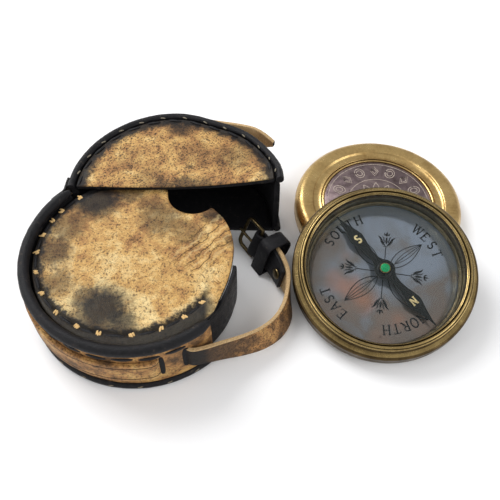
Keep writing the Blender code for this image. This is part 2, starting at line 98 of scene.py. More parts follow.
BUCKLE_AHEAD = (BUCKLE_AHEAD - BUCKLE_UP * BUCKLE_AHEAD.dot(BUCKLE_UP)).normalized()
BUCKLE = axes_matrix(BUCKLE_AHEAD, BUCKLE_UP.cross(BUCKLE_AHEAD), BUCKLE_UP, joint_point("buckle_swing"))
ROW = Matrix.Identity(4)

# What a piece rides on, and the space that its shape is given in.
ON_POUCH, ON_HOOD = ("pouch", POUCH), ("hood", HOOD)
ON_COMPASS, ON_NEEDLE = ("compass", COMPASS), ("needle", NEEDLE)
ON_LID, ON_BUCKLE, ON_PRONG = ("lid", LID), ("buckle", BUCKLE), ("prong", BUCKLE)
ON_STRAP, BETWEEN = ("pouch", ROW), (None, ROW)


# ---------------------------------------------------------------- materials

class Wave:
    """A number that varies over a surface, on a node's output, with plain arithmetic."""

    def __init__(self, paint, socket):
        self.paint, self.socket = paint, socket

    def __add__(self, other):
        return self.paint.math("ADD", self, other)

    def __sub__(self, other):
        return self.paint.math("SUBTRACT", self, other)

    def __mul__(self, other):
        return self.paint.math("MULTIPLY", self, other)


class Paint:
    """A Principled material. Its patterns are in the piece's own space, in millimetres, stored
    on the mesh as the attribute "place"."""

    def __init__(self, name, roughness=0.5, metallic=0.0, specular=0.5):
        self.material = bpy.data.materials.new(name)
        self.material.use_nodes = True
        self.tree = self.material.node_tree
        self.shader = self.tree.nodes["Principled BSDF"]
        for socket, value in (("Roughness", roughness), ("Metallic", metallic),
                              ("Specular IOR Level", specular)):
            self.shader.inputs[socket].default_value = value
        self.mm = self.put("ShaderNodeAttribute", attribute_name="place").outputs["Vector"]

    def join(self, value, socket):
        """Sets a constant on a socket, or links a wave or a node's output to it."""
        value = value.socket if isinstance(value, Wave) else value
        if isinstance(value, bpy.types.NodeSocket):
            self.tree.links.new(value, socket)
        else:
            socket.default_value = value

    def put(self, kind, inputs=None, **settings):
        made = self.tree.nodes.new(kind)
        for key, value in settings.items():
            setattr(made, key, value)
        for key, value in (inputs or {}).items():
            self.join(value, made.inputs[key])
        return made

    def wave(self, *node, **settings):
        return Wave(self, self.put(*node, **settings).outputs[0])

    def noise(self, size, detail=3.0, roughness=0.55, distortion=0.0):
        return self.wave("ShaderNodeTexNoise", {"Vector": self.mm, "Scale": 1.0 / size, "Detail": detail,
                                                "Roughness": roughness, "Distortion": distortion})

    def cells(self, size, feature="F1"):
        return self.wave("ShaderNodeTexVoronoi", {"Vector": self.mm, "Scale": 1.0 / size},
                         feature=feature)

    def math(self, operation, a, b=0.0):
        return self.wave("ShaderNodeMath", {0: a, 1: b}, operation=operation)

    def between(self, value, low, high, out_low=0.0, out_high=1.0):
        """Smoothly from out_low below low to out_high above high."""
        return self.wave("ShaderNodeMapRange", {"Value": value, "From Min": low, "From Max": high,
                                                "To Min": out_low, "To Max": out_high},
                         interpolation_type="SMOOTHSTEP")

    def ramp(self, value, *stops):
        made = self.put("ShaderNodeValToRGB", {0: value})
        elements = made.color_ramp.elements
        while len(elements) < len(stops):
            elements.new(0.5)
        for element, (at, colour) in zip(elements, stops):
            element.position = at
            element.color = (*colour, 1.0)
        return made.outputs[0]

    def mix(self, amount, base, colour):
        return self.put("ShaderNodeMix", {0: amount, 6: base, 7: (*colour, 1.0)},
                        data_type="RGBA").outputs[2]

    def split(self):
        return [Wave(self, out) for out in self.put("ShaderNodeSeparateXYZ", {0: self.mm}).outputs]

    def radius(self, x=0.0, y=0.0):
        flat = self.put("ShaderNodeVectorMath", {0: self.mm, 1: (1.0, 1.0, 0.0)},
                        operation="MULTIPLY").outputs[0]
        reach = self.put("ShaderNodeVectorMath", {0: flat, 1: (x, y, 0.0)}, operation="DISTANCE")
        return Wave(self, reach.outputs["Value"])

    def finish(self, colour, rough=None, height_mm=None):
        """Colours the shader, and gives it a varying roughness and a relief."""
        self.join(colour, self.shader.inputs["Base Color"])
        if rough:
            self.join(rough, self.shader.inputs["Roughness"])
        if height_mm:
            bump = self.put("ShaderNodeBump", {"Height": height_mm, "Distance": MM, "Strength": 1.0})
            self.join(bump.outputs[0], self.shader.inputs["Normal"])
        return self.material


def srgb(r, g, b):
    """A colour named by its 0-255 screen values, as linear light."""
    return tuple(c / 12.92 if c <= 0.04045 else ((c + 0.055) / 1.055) ** 2.4
                 for c in (v / 255.0 for v in (r, g, b)))


def turned_brass(name, light, dark, roughness, tarnish=0.5, rings=0.012):
    """Antique brass with lathe rings about its own axis, blotches of tarnish and fine pits."""
    paint = Paint(name, roughness, 1.0)
    worn = paint.noise(9.0, 5.0, 0.62) * 0.7 + paint.noise(1.1, 4.0, 0.6) * 0.3
    ring = paint.wave("ShaderNodeTexNoise", {"W": paint.radius(), "Scale": 5.0, "Detail": 3.0},
                      noise_dimensions="1D")
    pits = paint.between(paint.noise(0.5, 2.0), 0.28, 0.4, -0.02, 0.0)
    return paint.finish(
        paint.ramp(worn, (0.38 - 0.16 * tarnish, srgb(*dark)), (0.62, srgb(*light))),
        paint.between(worn, 0.3, 0.7, roughness + 0.16, roughness - 0.05), ring * rings + pits)


def dial_metal():
    """The dark polished plate under the needle: blue-grey, with coppery worn patches, and bluer towards the
    top and right as a painted reflection of the pale sky.
    """
    paint = Paint("dial_copper", 0.16, 0.72)
    x, y, _ = paint.split()
    cloud = paint.noise(15.0, 3.0, 0.5, 0.6)
    # cloud is the plate's random tone; the slope in y and x adds a painted reflection, bluer towards the
    # top and right
    tone_with_painted_reflection = cloud + (y * -0.008 + x * -0.004)
    base = paint.ramp(tone_with_painted_reflection, (0.34, srgb(166, 178, 194)), (0.50, srgb(154, 160, 168)),
                      (0.64, srgb(146, 138, 132)), (0.84, srgb(162, 142, 130)))
    for x, y, radius, strength in ((-12.0, -9.0, 4.0, 0.6), (-19.0, -6.0, 3.5, 0.4),
                                   (-7.0, -13.0, 4.6, 0.68), (-16.0, 5.0, 2.6, 0.2),
                                   (8.0, -19.0, 4.0, 0.45)):
        reach = paint.radius(x, y) + cloud * 14.0
        base = paint.mix(paint.between(reach, 6.5 + radius * 0.1, 8.0 + radius * 1.4, strength, 0.0),
                         base, srgb(206, 150, 122))
    spots = paint.between(paint.noise(2.6, 2.0, 0.5), 0.22, 0.32, 0.4, 0.0)
    return paint.finish(paint.mix(spots, base, srgb(70, 62, 58)),
                        paint.between(paint.noise(9.0, 2.0, 0.5), 0.35, 0.7, 0.13, 0.18))


def medallion_metal():
    paint = Paint("medallion_copper", 0.32, 1.0)
    cloud = paint.noise(7.0, 5.0, 0.6, 0.4)
    return paint.finish(
        paint.ramp(cloud, (0.3, srgb(88, 74, 74)), (0.5, srgb(126, 110, 112)), (0.7, srgb(150, 134, 132))),
        paint.between(paint.noise(2.0, 4.0), 0.3, 0.7, 0.26, 0.45), paint.noise(0.9, 5.0, 0.65) * 0.05)


def plain(name, colour, roughness, metallic=0.0, grain_mm=0.01, grain_size=0.8, spread=0.35):
    """One tone with fine mottling and a little grain."""
    paint = Paint(name, roughness, metallic)
    fleck = paint.noise(grain_size, 4.0, 0.6)
    darker = tuple(c * (1.0 - spread) for c in srgb(*colour))
    lighter = tuple(min(1.0, c * (1.0 + spread)) for c in srgb(*colour))
    rough = paint.between(fleck, 0.3, 0.7, roughness - 0.06, min(1.0, roughness + 0.1))
    return paint.finish(paint.ramp(fleck, (0.3, darker), (0.7, lighter)), rough, fleck * grain_mm)


GOLD = srgb(206, 164, 98)
CREAM = srgb(232, 205, 146)
TAN = srgb(170, 124, 74)
BROWN = srgb(96, 70, 44)
SOOT = srgb(13, 12, 13)


def pebbles(paint):
    """Height, in mm, of fine pebbled grain with soft wrinkles."""
    cell = paint.math("MINIMUM", paint.cells(0.62, "DISTANCE_TO_EDGE") * 0.22, 0.06)
    return cell + paint.noise(2.6, 5.0, 0.62) * 0.16


def creases(paint):
    """The pinched lines across the front panel's free side, as (line, highlight), both 0 to 1: each crease
    line gets a bump and painted shade, and the fold beside it a painted highlight.
    """
    x, y, _ = paint.split()
    across, along = y * 0.66 + x * -0.751, x * 0.66 + y * 0.751
    near = paint.math("PINGPONG", across + paint.noise(12.0, 4.0, 0.6) * 11.0, 2.1)
    here = paint.between(along, 5.0, 13.0) * (paint.between(across, -27.0, -23.0)
                                              * paint.between(across, -12.0, -7.0, 1.0, 0.0))
    return here * paint.between(near, 0.04, 0.34, 1.0, 0.0), here * paint.between(near, 1.3, 2.0)


def tan_leather(name, edge_at=None, edge_fade=3.0, patches=(), fade_y=0.0, warmth=0.0,
                edge_centre=(0.0, 0.0), speckle=0.5, dots=0.0, free_side=None, creased=False):
    """Rubbed tan leather: black in its pores and along its edges, gold where it is worn.

    edge_at is the radius where the burnished border starts. patches are dark smudges, each
    (x, y, radius, strength), in millimetres in the piece's own space. free_side is the way to
    the side without a border, in degrees, and how far off it starts.
    """
    paint = Paint(name, 0.5, 0.0, 0.25)
    x, y, _ = paint.split()
    streak = paint.noise(4.5, 5.0, 0.65)
    tone = paint.noise(15.0, 5.0, 0.62, 0.3) * 0.62 + streak * 0.38 + y * fade_y + warmth
    base = paint.ramp(tone, (0.33, BROWN), (0.43, TAN), (0.53, GOLD), (0.66, CREAM))
    speck = paint.between(paint.noise(0.95, 2.0, 0.6), 0.62 - 0.2 * speckle, 0.72 - 0.2 * speckle,
                          0.0, 0.85)
    pores = paint.between(paint.cells(0.62, "DISTANCE_TO_EDGE"), 0.02, 0.16, 0.4, 0.0)
    dark = paint.math("MAXIMUM", speck, pores) * paint.between(streak, 0.35, 0.62, 1.0, 0.55)
    base = paint.mix(dark, base, srgb(54, 40, 28))
    if dots:
        base = paint.mix(paint.between(paint.cells(1.05), 0.16, 0.36, dots, 0.0), base, srgb(34, 26, 22))
    ragged = (paint.noise(3.0, 5.0, 0.7) - 0.5) * 9.0
    for spot_x, spot_y, radius, strength in patches:
        reach = paint.radius(spot_x, spot_y) + ragged
        base = paint.mix(paint.between(reach, radius * 0.45, radius * 1.25, strength, 0.0), base, SOOT)
    if edge_at is not None:
        reach = paint.radius(*edge_centre) + ragged
        border = paint.between(reach, edge_at, edge_at + edge_fade, 0.0, 0.97)
        if free_side:
            toward = x * facing(free_side[0]).x + y * facing(free_side[0]).y
            border = border * paint.between(toward, free_side[1], free_side[1] + 4.0, 1.0, 0.0)
        base = paint.mix(border, base, SOOT)
    height = pebbles(paint)
    # Crease lines: a bump, with painted shade darkening each line and a painted cream highlight on the fold
    # beside it.
    if creased:
        line, painted_ridge_highlight = creases(paint)
        base = paint.mix(line * 0.72, base, srgb(70, 52, 34))
        base = paint.mix(painted_ridge_highlight * 0.3, base, CREAM)
        height = height - line * 0.35
    return paint.finish(base, paint.between(tone, 0.35, 0.65, 0.62, 0.46), height)


def black_leather(name="leather_black", roughness=0.5):
    paint = Paint(name, roughness, 0.0, 0.2)
    rub = paint.noise(2.2, 5.0, 0.7)
    return paint.finish(
        paint.ramp(rub, (0.40, srgb(13, 13, 16)), (0.60, srgb(26, 25, 28)), (0.76, srgb(74, 66, 56))),
        paint.between(rub, 0.35, 0.7, roughness - 0.08, roughness + 0.15), pebbles(paint) * 0.9)


def flesh_leather():
    """The strap's fuzzy undyed back."""
    paint = Paint("leather_flesh", 0.85, 0.0, 0.3)
    fuzz = paint.noise(0.5, 5.0, 0.75)
    colour = paint.ramp(fuzz, (0.3, srgb(142, 112, 76)), (0.55, srgb(194, 164, 120)),
                        (0.75, srgb(222, 198, 158)))
    return paint.finish(colour, None, fuzz * 0.14)


def glass_clear():
    paint = Paint("glass_clear", 0.03)
    paint.shader.inputs["Alpha"].default_value = 0.12
    return paint.finish((0.02, 0.03, 0.03, 1.0),
                        paint.between(paint.noise(11.0, 3.0), 0.35, 0.7, 0.02, 0.07))


LID_BRASS = turned_brass("brass_lid", (208, 178, 120), (146, 116, 70), 0.27)
BEZEL_BRASS = turned_brass("brass_bezel", (180, 156, 104), (96, 78, 48), 0.22, 0.8)
# A much darker copy of the bezel brass, put in the bezel's grooves: painted shade.
GROOVE_SHADE_BRASS = turned_brass("brass_groove_painted_shade", (78, 62, 38), (38, 30, 20), 0.45, 0.6)
BODY_BRASS = turned_brass("brass_dark_body", (92, 76, 50), (42, 34, 22), 0.32, 0.6)
WALL_BRASS = turned_brass("brass_inner_wall", (134, 122, 94), (74, 66, 50), 0.30, 0.6)
DIAL_METAL = dial_metal()
MEDALLION = medallion_metal()
BLACK_STEEL = plain("needle_black", (20, 22, 22), 0.42, 0.3, 0.004, 1.2)
INK = plain("engraving_dark", (12, 12, 16), 0.8, 0.0)
PALE_INK = plain("engraving_pale", (182, 168, 156), 0.45, 0.35)
LETTER_CREAM = plain("needle_letter_cream", (224, 206, 150), 0.5)
JEWEL = plain("jewel_green", (12, 160, 96), 0.16, 0.0, 0.004, 1.5, 0.25)
CORK = plain("gasket_dark", (60, 50, 40), 0.8)
BRONZE = turned_brass("bronze_buckle", (104, 90, 62), (44, 38, 28), 0.32, 0.7, 0.0)
GLASS = glass_clear()
BLACK = black_leather()
BLACK_MATT = black_leather("leather_black_inside", 0.75)
FLESH = flesh_leather()
THREAD = plain("stitch_pale", (212, 176, 118), 0.8, 0.0, 0.05, 0.35, 0.35)
THREAD_DULL = plain("stitch_dull", (120, 112, 96), 0.8, 0.0, 0.05, 0.5, 0.5)
FRONT_TAN = tan_leather("leather_front", 32.8, 2.8,
                        [(-10.0, -24.5, 11.5, 0.95), (-1.5, -30.0, 6.0, 0.8), (-18.0, -20.0, 6.0, 0.5),
                         (-32.0, 1.0, 8.0, 0.72), (-29.0, 13.0, 8.0, 0.6), (-28.0, -13.0, 7.0, 0.55),
                         (-19.0, 28.0, 12.0, 0.95), (-5.0, 32.0, 6.5, 0.7), (8.5, 18.0, 10.0, 0.58),
                         (20.0, 11.0, 7.5, 0.42), (3.0, 26.0, 6.0, 0.4), (29.5, 21.0, 5.5, 0.72),
                         (36.5, 8.0, 3.0, 0.5), (29.0, -22.5, 4.5, 0.62)],
                        fade_y=-0.0018, warmth=0.03, edge_centre=(-2.0, 1.2),
                        speckle=0.48, dots=0.3, free_side=(6.0, 25.0), creased=True)


def turned_patches(patches, degrees):
    """Patches seen in the open hood's standing, brought into its own space."""
    c, s = math.cos(math.radians(degrees)), math.sin(math.radians(degrees))
    return [(x * c + y * s, y * c - x * s, radius, strength) for x, y, radius, strength in patches]


HOOD_TAN = tan_leather("leather_hood", 34.6, 4.4, turned_patches(
    [(-4.0, 0.5, 5.0, 0.62), (4.0, 1.5, 5.5, 0.7), (12.0, 0.5, 5.0, 0.62), (5.7, 11.5, 1.8, 0.6),
     (-10.6, 5.0, 7.0, 0.3), (0.0, 36.0, 7.0, 0.6), (8.0, 20.0, 9.0, 0.2),
     (24.0, 17.0, 9.0, 0.42), (-20.0, 16.0, 7.0, 0.15)], 45.0),
    warmth=-0.02, speckle=0.6, dots=0.92)
WALL_TAN = tan_leather("leather_wall", warmth=-0.09, speckle=0.55, dots=0.25)
STRAP_TAN = tan_leather("leather_strap", warmth=-0.07, speckle=0.6, dots=0.35)
LOOP_TAN = tan_leather("leather_loop", patches=[(-26.0, -54.0, 11.0, 0.95)], warmth=-0.17,
                       speckle=0.65, dots=0.85)


# ---------------------------------------------------------------- mesh tools

def piece(name, verts, faces, materials, home, node=None, kinds=None, sharp=38.0):
    """A finished mesh, given in millimetres in its home's space.

    node is the one it replaces, and kinds are its faces' places in materials.
    """
    body, matrix = home
    mesh = bpy.data.meshes.new(name)
    own = [Vector(v) for v in verts]
    shaped = [sprung(v) for v in own] if matrix is HOOD else own
    mesh.from_pydata([matrix @ (v * MM) for v in shaped], [], faces)
    place = mesh.attributes.new("place", "FLOAT_VECTOR", "POINT")
    place.data.foreach_set("vector", [c for v in own for c in v])
    work = bmesh.new()
    work.from_mesh(mesh)
    bmesh.ops.recalc_face_normals(work, faces=work.faces)
    work.to_mesh(mesh)
    work.free()
    for material in materials if isinstance(materials, (list, tuple)) else [materials]:
        mesh.materials.append(material)
    if kinds:
        mesh.polygons.foreach_set("material_index", kinds)
    mesh.polygons.foreach_set("use_smooth", [True] * len(mesh.polygons))
    mesh.set_sharp_from_angle(angle=math.radians(sharp))
    mesh.update()
    obj = bpy.data.objects.new(name, mesh)
    bpy.context.scene.collection.objects.link(obj)
    if body:
        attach(obj, body)
    if node:
        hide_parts(node)
    return obj


def sprung(v):
    """The hood's leather has sprung a little: its free mouth corner stands up, its side is flat."""
    along, inward = (v.x - v.y) / 1.4142, (v.x + v.y) / 1.4142
    t = min(1.0, max(0.0, (along + 12.0) / 54.0))
    lift = 6.6 * t * t * math.exp(-(max(inward, 0.0) / 17.0) ** 2)
    angle = math.degrees(math.atan2(v.y, v.x))
    pull = 1.9 * math.exp(-((angle - 24.0) / 17.0) ** 2) * min(1.0, math.hypot(v.x, v.y) / 42.0)
    flat = Vector((v.x, v.y)) * (1.0 - pull / max(10.0, math.hypot(v.x, v.y)))
    return Vector((flat.x, flat.y, v.z + lift * max(0.0, v.z) / 28.0))


def lattice(rows, closed=False):
    """The points of equal rings, and the faces between each ring and the next."""
    count, width = len(rows), len(rows[0])
    faces = []
    for i in range(count if closed else count - 1):
        a, b = i * width, ((i + 1) % count) * width
        for j in range(width):
            k = (j + 1) % width
            faces.append((a + j, a + k, b + k, b + j))
    return [tuple(point) for row in rows for point in row], faces


def ahead_at(points, i):
    """The way a path runs at its point i, from the point before to the point after."""
    return Vector(points[min(i + 1, len(points) - 1)]) - Vector(points[max(i - 1, 0)])


def turned(name, profile, material, home, node=None, steps=144, closed=False,
           sharp=32.0, kinds=None):
    """A profile of (radius, height) turned about Z; its outer side runs from top to bottom."""
    verts, rings = [], []
    for radius, height in profile:
        if radius < 1e-6:
            rings.append([len(verts)])
            verts.append((0.0, 0.0, height))
        else:
            rings.append(list(range(len(verts), len(verts) + steps)))
            verts += [(radius * math.cos(TAU * i / steps), radius * math.sin(TAU * i / steps),
                       height) for i in range(steps)]
    faces, indices = [], []
    pairs = list(zip(rings, rings[1:])) + ([(rings[-1], rings[0])] if closed else [])
    for number, (upper, lower) in enumerate(pairs):
        for i in range(steps):
            k = (i + 1) % steps
            corners = [upper[i % len(upper)], lower[i % len(lower)], lower[k % len(lower)],
                       upper[k % len(upper)]]
            face = tuple(dict.fromkeys(corners))
            if len(face) > 2:
                faces.append(face)
                indices.append(kinds[number] if kinds else 0)
    return piece(name, verts, faces, material, home, node, indices, sharp)


def polar(radius, degrees, centre=(0.0, 0.0)):
    angle = math.radians(degrees)
    return Vector((centre[0] + radius * math.cos(angle), centre[1] + radius * math.sin(angle)))


def arc(radius, start, end, count, centre=(0.0, 0.0)):
    return [polar(radius, start + (end - start) * i / (count - 1), centre) for i in range(count)]


def smooth_path(points, per_span):
    """A Catmull-Rom curve through the points, in any number of dimensions."""
    found, last = [], len(points) - 1
    for i in range(last):
        p0, p1 = points[max(i - 1, 0)], points[i]
        p2, p3 = points[i + 1], points[min(i + 2, last)]
        for step in range(per_span):
            t = step / per_span
            found.append(tuple(
                0.5 * (2 * b + (c - a) * t + (2 * a - 5 * b + 4 * c - d) * t * t
                       + (3 * b - a - 3 * c + d) * t ** 3)
                for a, b, c, d in zip(p0, p1, p2, p3)))
    found.append(tuple(points[-1]))
    return found


def resampled(loop, count):
    """A closed loop walked in equal steps."""
    lengths = [0.0]
    for a, b in zip(loop, loop[1:] + loop[:1]):
        lengths.append(lengths[-1] + (Vector(b) - Vector(a)).length)
    found, k = [], 0
    for i in range(count):
        want = lengths[-1] * i / count
        while lengths[k + 1] < want:
            k += 1
        t = (want - lengths[k]) / max(1e-9, lengths[k + 1] - lengths[k])
        found.append(Vector(loop[k % len(loop)]).lerp(Vector(loop[(k + 1) % len(loop)]), t))
    return found


def wobble(x, y, z, size, amount):
    return noise.noise(Vector((x / size, y / size, z / size))) * amount


def panel(name, outline, centre, low, top, relief, materials, home, node, rings=46,
          around=260):
    """A sheet of leather lying flat: worked top, rounded burnished edge, plain underside."""
    edge = resampled([tuple(p) for p in outline], around)
    middle = Vector(centre)
    rows, kinds = [], []

    def ring(fraction, pull, height):
        row = []
        for point in edge:
            out = point - middle
            at = middle + out * fraction - out.normalized() * pull
            row.append((at.x, at.y, height(at) if callable(height) else height))
        rows.append(row)

    def surface(at):
        return top + relief(at.x, at.y)

    steps = [((i + 1) / rings) ** 0.8 for i in range(rings)]
    for step in steps[:-1]:
        ring(step, 0.9 * step, surface)
        kinds.append(0)
    ring(1.0, 0.55, lambda at: surface(at) - 0.12)
    ring(1.0, 0.16, lambda at: surface(at) - 0.42)
    ring(1.0, 0.0, lambda at: surface(at) * 0.5 + low * 0.5)
    ring(1.0, 0.2, low + 0.25)
    ring(1.0, 0.6, low)
    kinds += [0, 1, 1, 1, 2]
    ring(0.5, 0.0, low)
    verts, faces = lattice(rows)
    verts = [(middle.x, middle.y, surface(middle))] + verts + [(middle.x, middle.y, low)]
    indices = [(kinds + [2])[i // around] for i in range(len(faces))]
    faces = [tuple(1 + i for i in face)[::-1] for face in faces]
    last = len(verts) - 1
    for j in range(around):
        k = (j + 1) % around
        faces += [(0, 1 + j, 1 + k), (last, last - around + k, last - around + j)]
        indices += [0, 2]
    return piece(name, verts, faces, materials, home, node, indices, 50.0)


def sweep(name, frames, section, materials, home, node, kinds=None):
    """A closed section of (outward, up) points carried along frames of (place, out, up)."""
    rows = []
    for place, out, up, *scale in frames:
        squeeze = scale[0] if scale else 1.0
        rows.append([place + out * a + up * b * squeeze for a, b in section])
    verts, faces = lattice(rows)
    width = len(section)
    indices = [kinds[i % width] if kinds else 0 for i in range(len(faces))]
    for row, flip in ((0, False), (len(rows) - 1, True)):
        ids = [row * width + j for j in range(width)]
        faces.append(tuple(ids if flip else reversed(ids)))
        indices.append(max(kinds) if kinds else 0)
    return piece(name, verts, faces, materials, home, node, indices, 40.0)


def path_frames(points, height, side=1.0):
    """Frames along a level path: out is to the right of travel, or to the left for side -1."""
    frames = []
    for i, point in enumerate(points):
        out = ahead_at(points, i).to_3d().cross(UP).normalized() * side
        frames.append((Vector(point).to_3d() + UP * height, out, UP))
    return frames


def round_tube(name, points, radii, material, home, node, sides=14, closed=False, lump=0.0):
    """A round bar along points, with slightly uneven girth."""
    rows, normal = [], None
    for i, point in enumerate(points):
        around = Vector(points[(i + 1) % len(points)]) - Vector(points[i - 1])
        ahead = (around if closed else ahead_at(points, i)).normalized()
        if normal is None:
            normal = ahead.cross(Vector((0.1, 0.2, 1.0))).normalized()
        normal = (normal - ahead * normal.dot(ahead)).normalized()
        side = ahead.cross(normal)
        radius = radii[i] if isinstance(radii, (list, tuple)) else radii
        row = []
        for k in range(sides):
            angle = TAU * k / sides
            swell = 1.0 + (wobble(point[0] + k * 0.9, point[1], point[2] + k, 3.0, lump) if lump else 0.0)
            row.append(Vector(point) + normal * math.cos(angle) * radius * swell
                       + side * math.sin(angle) * radius * swell)
        rows.append(row)
    verts, faces = lattice(rows, closed)
    if not closed:
        faces += [tuple(reversed(range(sides))), tuple(len(verts) - sides + k for k in range(sides))]
    return piece(name, verts, faces, material, home, node, sharp=60.0)


def joined(name, shapes, material, home, sharp=38.0):
    """One mesh of many small shapes, each (verts, faces)."""
    verts, faces = [], []
    for points, polygons in shapes:
        faces += [tuple(len(verts) + i for i in polygon) for polygon in polygons]
        verts += points
    return piece(name, verts, faces, material, home, None, sharp=sharp)


def prism(loop, bottom, top):
    """A flat closed outline of (x, y) given thickness; the loop runs anticlockwise."""
    area = sum(a[0] * b[1] - b[0] * a[1] for a, b in zip(loop, loop[1:] + loop[:1]))
    loop = loop if area > 0 else loop[::-1]
    count = len(loop)
    points = [(x, y, bottom) for x, y in loop] + [(x, y, top) for x, y in loop]
    faces = [tuple(reversed(range(count))), tuple(range(count, 2 * count))]
    faces += [(i, (i + 1) % count, count + (i + 1) % count, count + i) for i in range(count)]
    return points, faces


def stroke(points, width, bottom, top):
    """A drawn line as a thin raised ribbon."""
    left, right = [], []
    for i, point in enumerate(points):
        ahead = ahead_at(points, i)
        side = Vector((-ahead.y, ahead.x)).normalized()
        left.append(tuple(Vector(point) + side * (width / 2)))
        right.append(tuple(Vector(point) - side * (width / 2)))
    return prism(left + right[::-1], bottom, top)


def capsule(length, width, height, place, along, up, bend=0.0):
    """A small rounded lump: a stitch, a knot or a lacing's end."""
    side = up.cross(along).normalized()
    along = side.cross(up).normalized()
    rows, rings, sides = [], 8, 10
    for i in range(rings + 1):
        t = math.pi * i / rings
        reach = -math.cos(t) * length / 2
        girth = math.sin(t) ** 0.6 if 0 < i < rings else 0.12
        middle = place + along * reach - up * bend * (reach / length * 2) ** 2
        rows.append([middle + side * math.cos(TAU * k / sides) * width / 2 * girth
                     + up * math.sin(TAU * k / sides) * height / 2 * girth for k in range(sides)])
    points, faces = lattice(rows)
    faces = [face[::-1] for face in faces]
    faces += [tuple(range(sides)), tuple(reversed([rings * sides + k for k in range(sides)]))]
    return points, faces


def ellipse_arc(x, y, a, b, start, end, count=10):
    return [(x + a * math.cos(math.radians(start + (end - start) * i / (count - 1))),
             y + b * math.sin(math.radians(start + (end - start) * i / (count - 1))))
            for i in range(count)]


# Roman letters one unit high: (thick or thin, points), then the places of their serifs.
LETTERS = {
    "A": ([(0, [(0.08, 0), (0.42, 1)]), (1, [(0.42, 1), (0.76, 0)]), (0, [(0.2, 0.35), (0.64, 0.35)])],
          [(0.08, 0), (0.76, 0)]),
    "E": ([(1, [(0.1, 0), (0.1, 1)]), (0, [(0.1, 0.98), (0.62, 0.98), (0.62, 0.8)]),
           (0, [(0.1, 0.52), (0.48, 0.52)]), (0, [(0.1, 0.03), (0.66, 0.03), (0.66, 0.22)])],
          [(0.1, 0), (0.1, 1)]),
    "H": ([(1, [(0.1, 0), (0.1, 1)]), (1, [(0.72, 0), (0.72, 1)]), (0, [(0.1, 0.52), (0.72, 0.52)])],
          [(0.1, 0), (0.1, 1), (0.72, 0), (0.72, 1)]),
    "N": ([(0, [(0.1, 0), (0.1, 1)]), (1, [(0.1, 1), (0.74, 0.02)]), (0, [(0.74, 0), (0.74, 1)])],
          [(0.1, 0), (0.1, 1), (0.74, 1)]),
    "O": ([(1, ellipse_arc(0.42, 0.5, 0.36, 0.5, 0, 360, 24))], []),
    "R": ([(1, [(0.1, 0), (0.1, 1)]),
           (0, [(0.1, 0.98)] + ellipse_arc(0.36, 0.75, 0.24, 0.23, 80, -80, 8) + [(0.1, 0.5)]),
           (1, [(0.34, 0.5), (0.72, 0.0)])], [(0.1, 0), (0.1, 1), (0.72, 0)]),
    "S": ([(1, ellipse_arc(0.34, 0.74, 0.24, 0.25, 30, 245, 10)
            + ellipse_arc(0.34, 0.26, 0.26, 0.26, 62, -150, 10))], []),
    "T": ([(1, [(0.4, 0), (0.4, 1)]), (0, [(0.04, 0.82), (0.04, 0.98), (0.76, 0.98), (0.76, 0.82)])],
          [(0.4, 0)]),
    "U": ([(1, [(0.1, 1), (0.1, 0.3)] + ellipse_arc(0.4, 0.3, 0.3, 0.3, 180, 360, 9)),
           (0, [(0.7, 0.3), (0.7, 1)])], [(0.1, 1), (0.7, 1)]),
    "W": ([(1, [(0.0, 1), (0.28, 0)]), (0, [(0.28, 0), (0.5, 0.95)]), (1, [(0.5, 0.95), (0.76, 0)]),
           (0, [(0.76, 0), (1.0, 1)])], [(0.0, 1), (1.0, 1), (0.5, 1)])}


LETTER_WIDTH = 0.92


def letter(character, height, place, turn, bottom, top, thick, thin):
    """A Roman letter cut in fine strokes: its middle at place, its top turned away by turn."""
    lines, serifs = LETTERS[character]
    width = max(x for _, points in lines for x, _ in points)
    angle = math.radians(turn)

    def at(x, y):
        across, rise = (x - width / 2) * height * LETTER_WIDTH, (y - 0.5) * height
        return (place[0] + across * math.cos(angle) - rise * math.sin(angle),
                place[1] + across * math.sin(angle) + rise * math.cos(angle))

    shapes = [stroke([at(*point) for point in points], thick if heavy else thin, bottom, top)
              for heavy, points in lines]
    shapes += [stroke([at(x - 0.15, y), at(x + 0.15, y)], thin * 0.9, bottom, top) for x, y in serifs]
    return shapes


# ---------------------------------------------------------------- compass

DIAL_TOP = 5.6
ROSE_TURN = 0.66


def thread_ridges(radius, top, turns, pitch, depth):
    """Rounded ridges of a screw thread, from the top down."""
    steps = 8
    return [(radius + depth * (0.5 - 0.5 * math.cos(TAU * i / steps)), top - pitch * i / steps)
            for i in range(turns * steps + 1)]


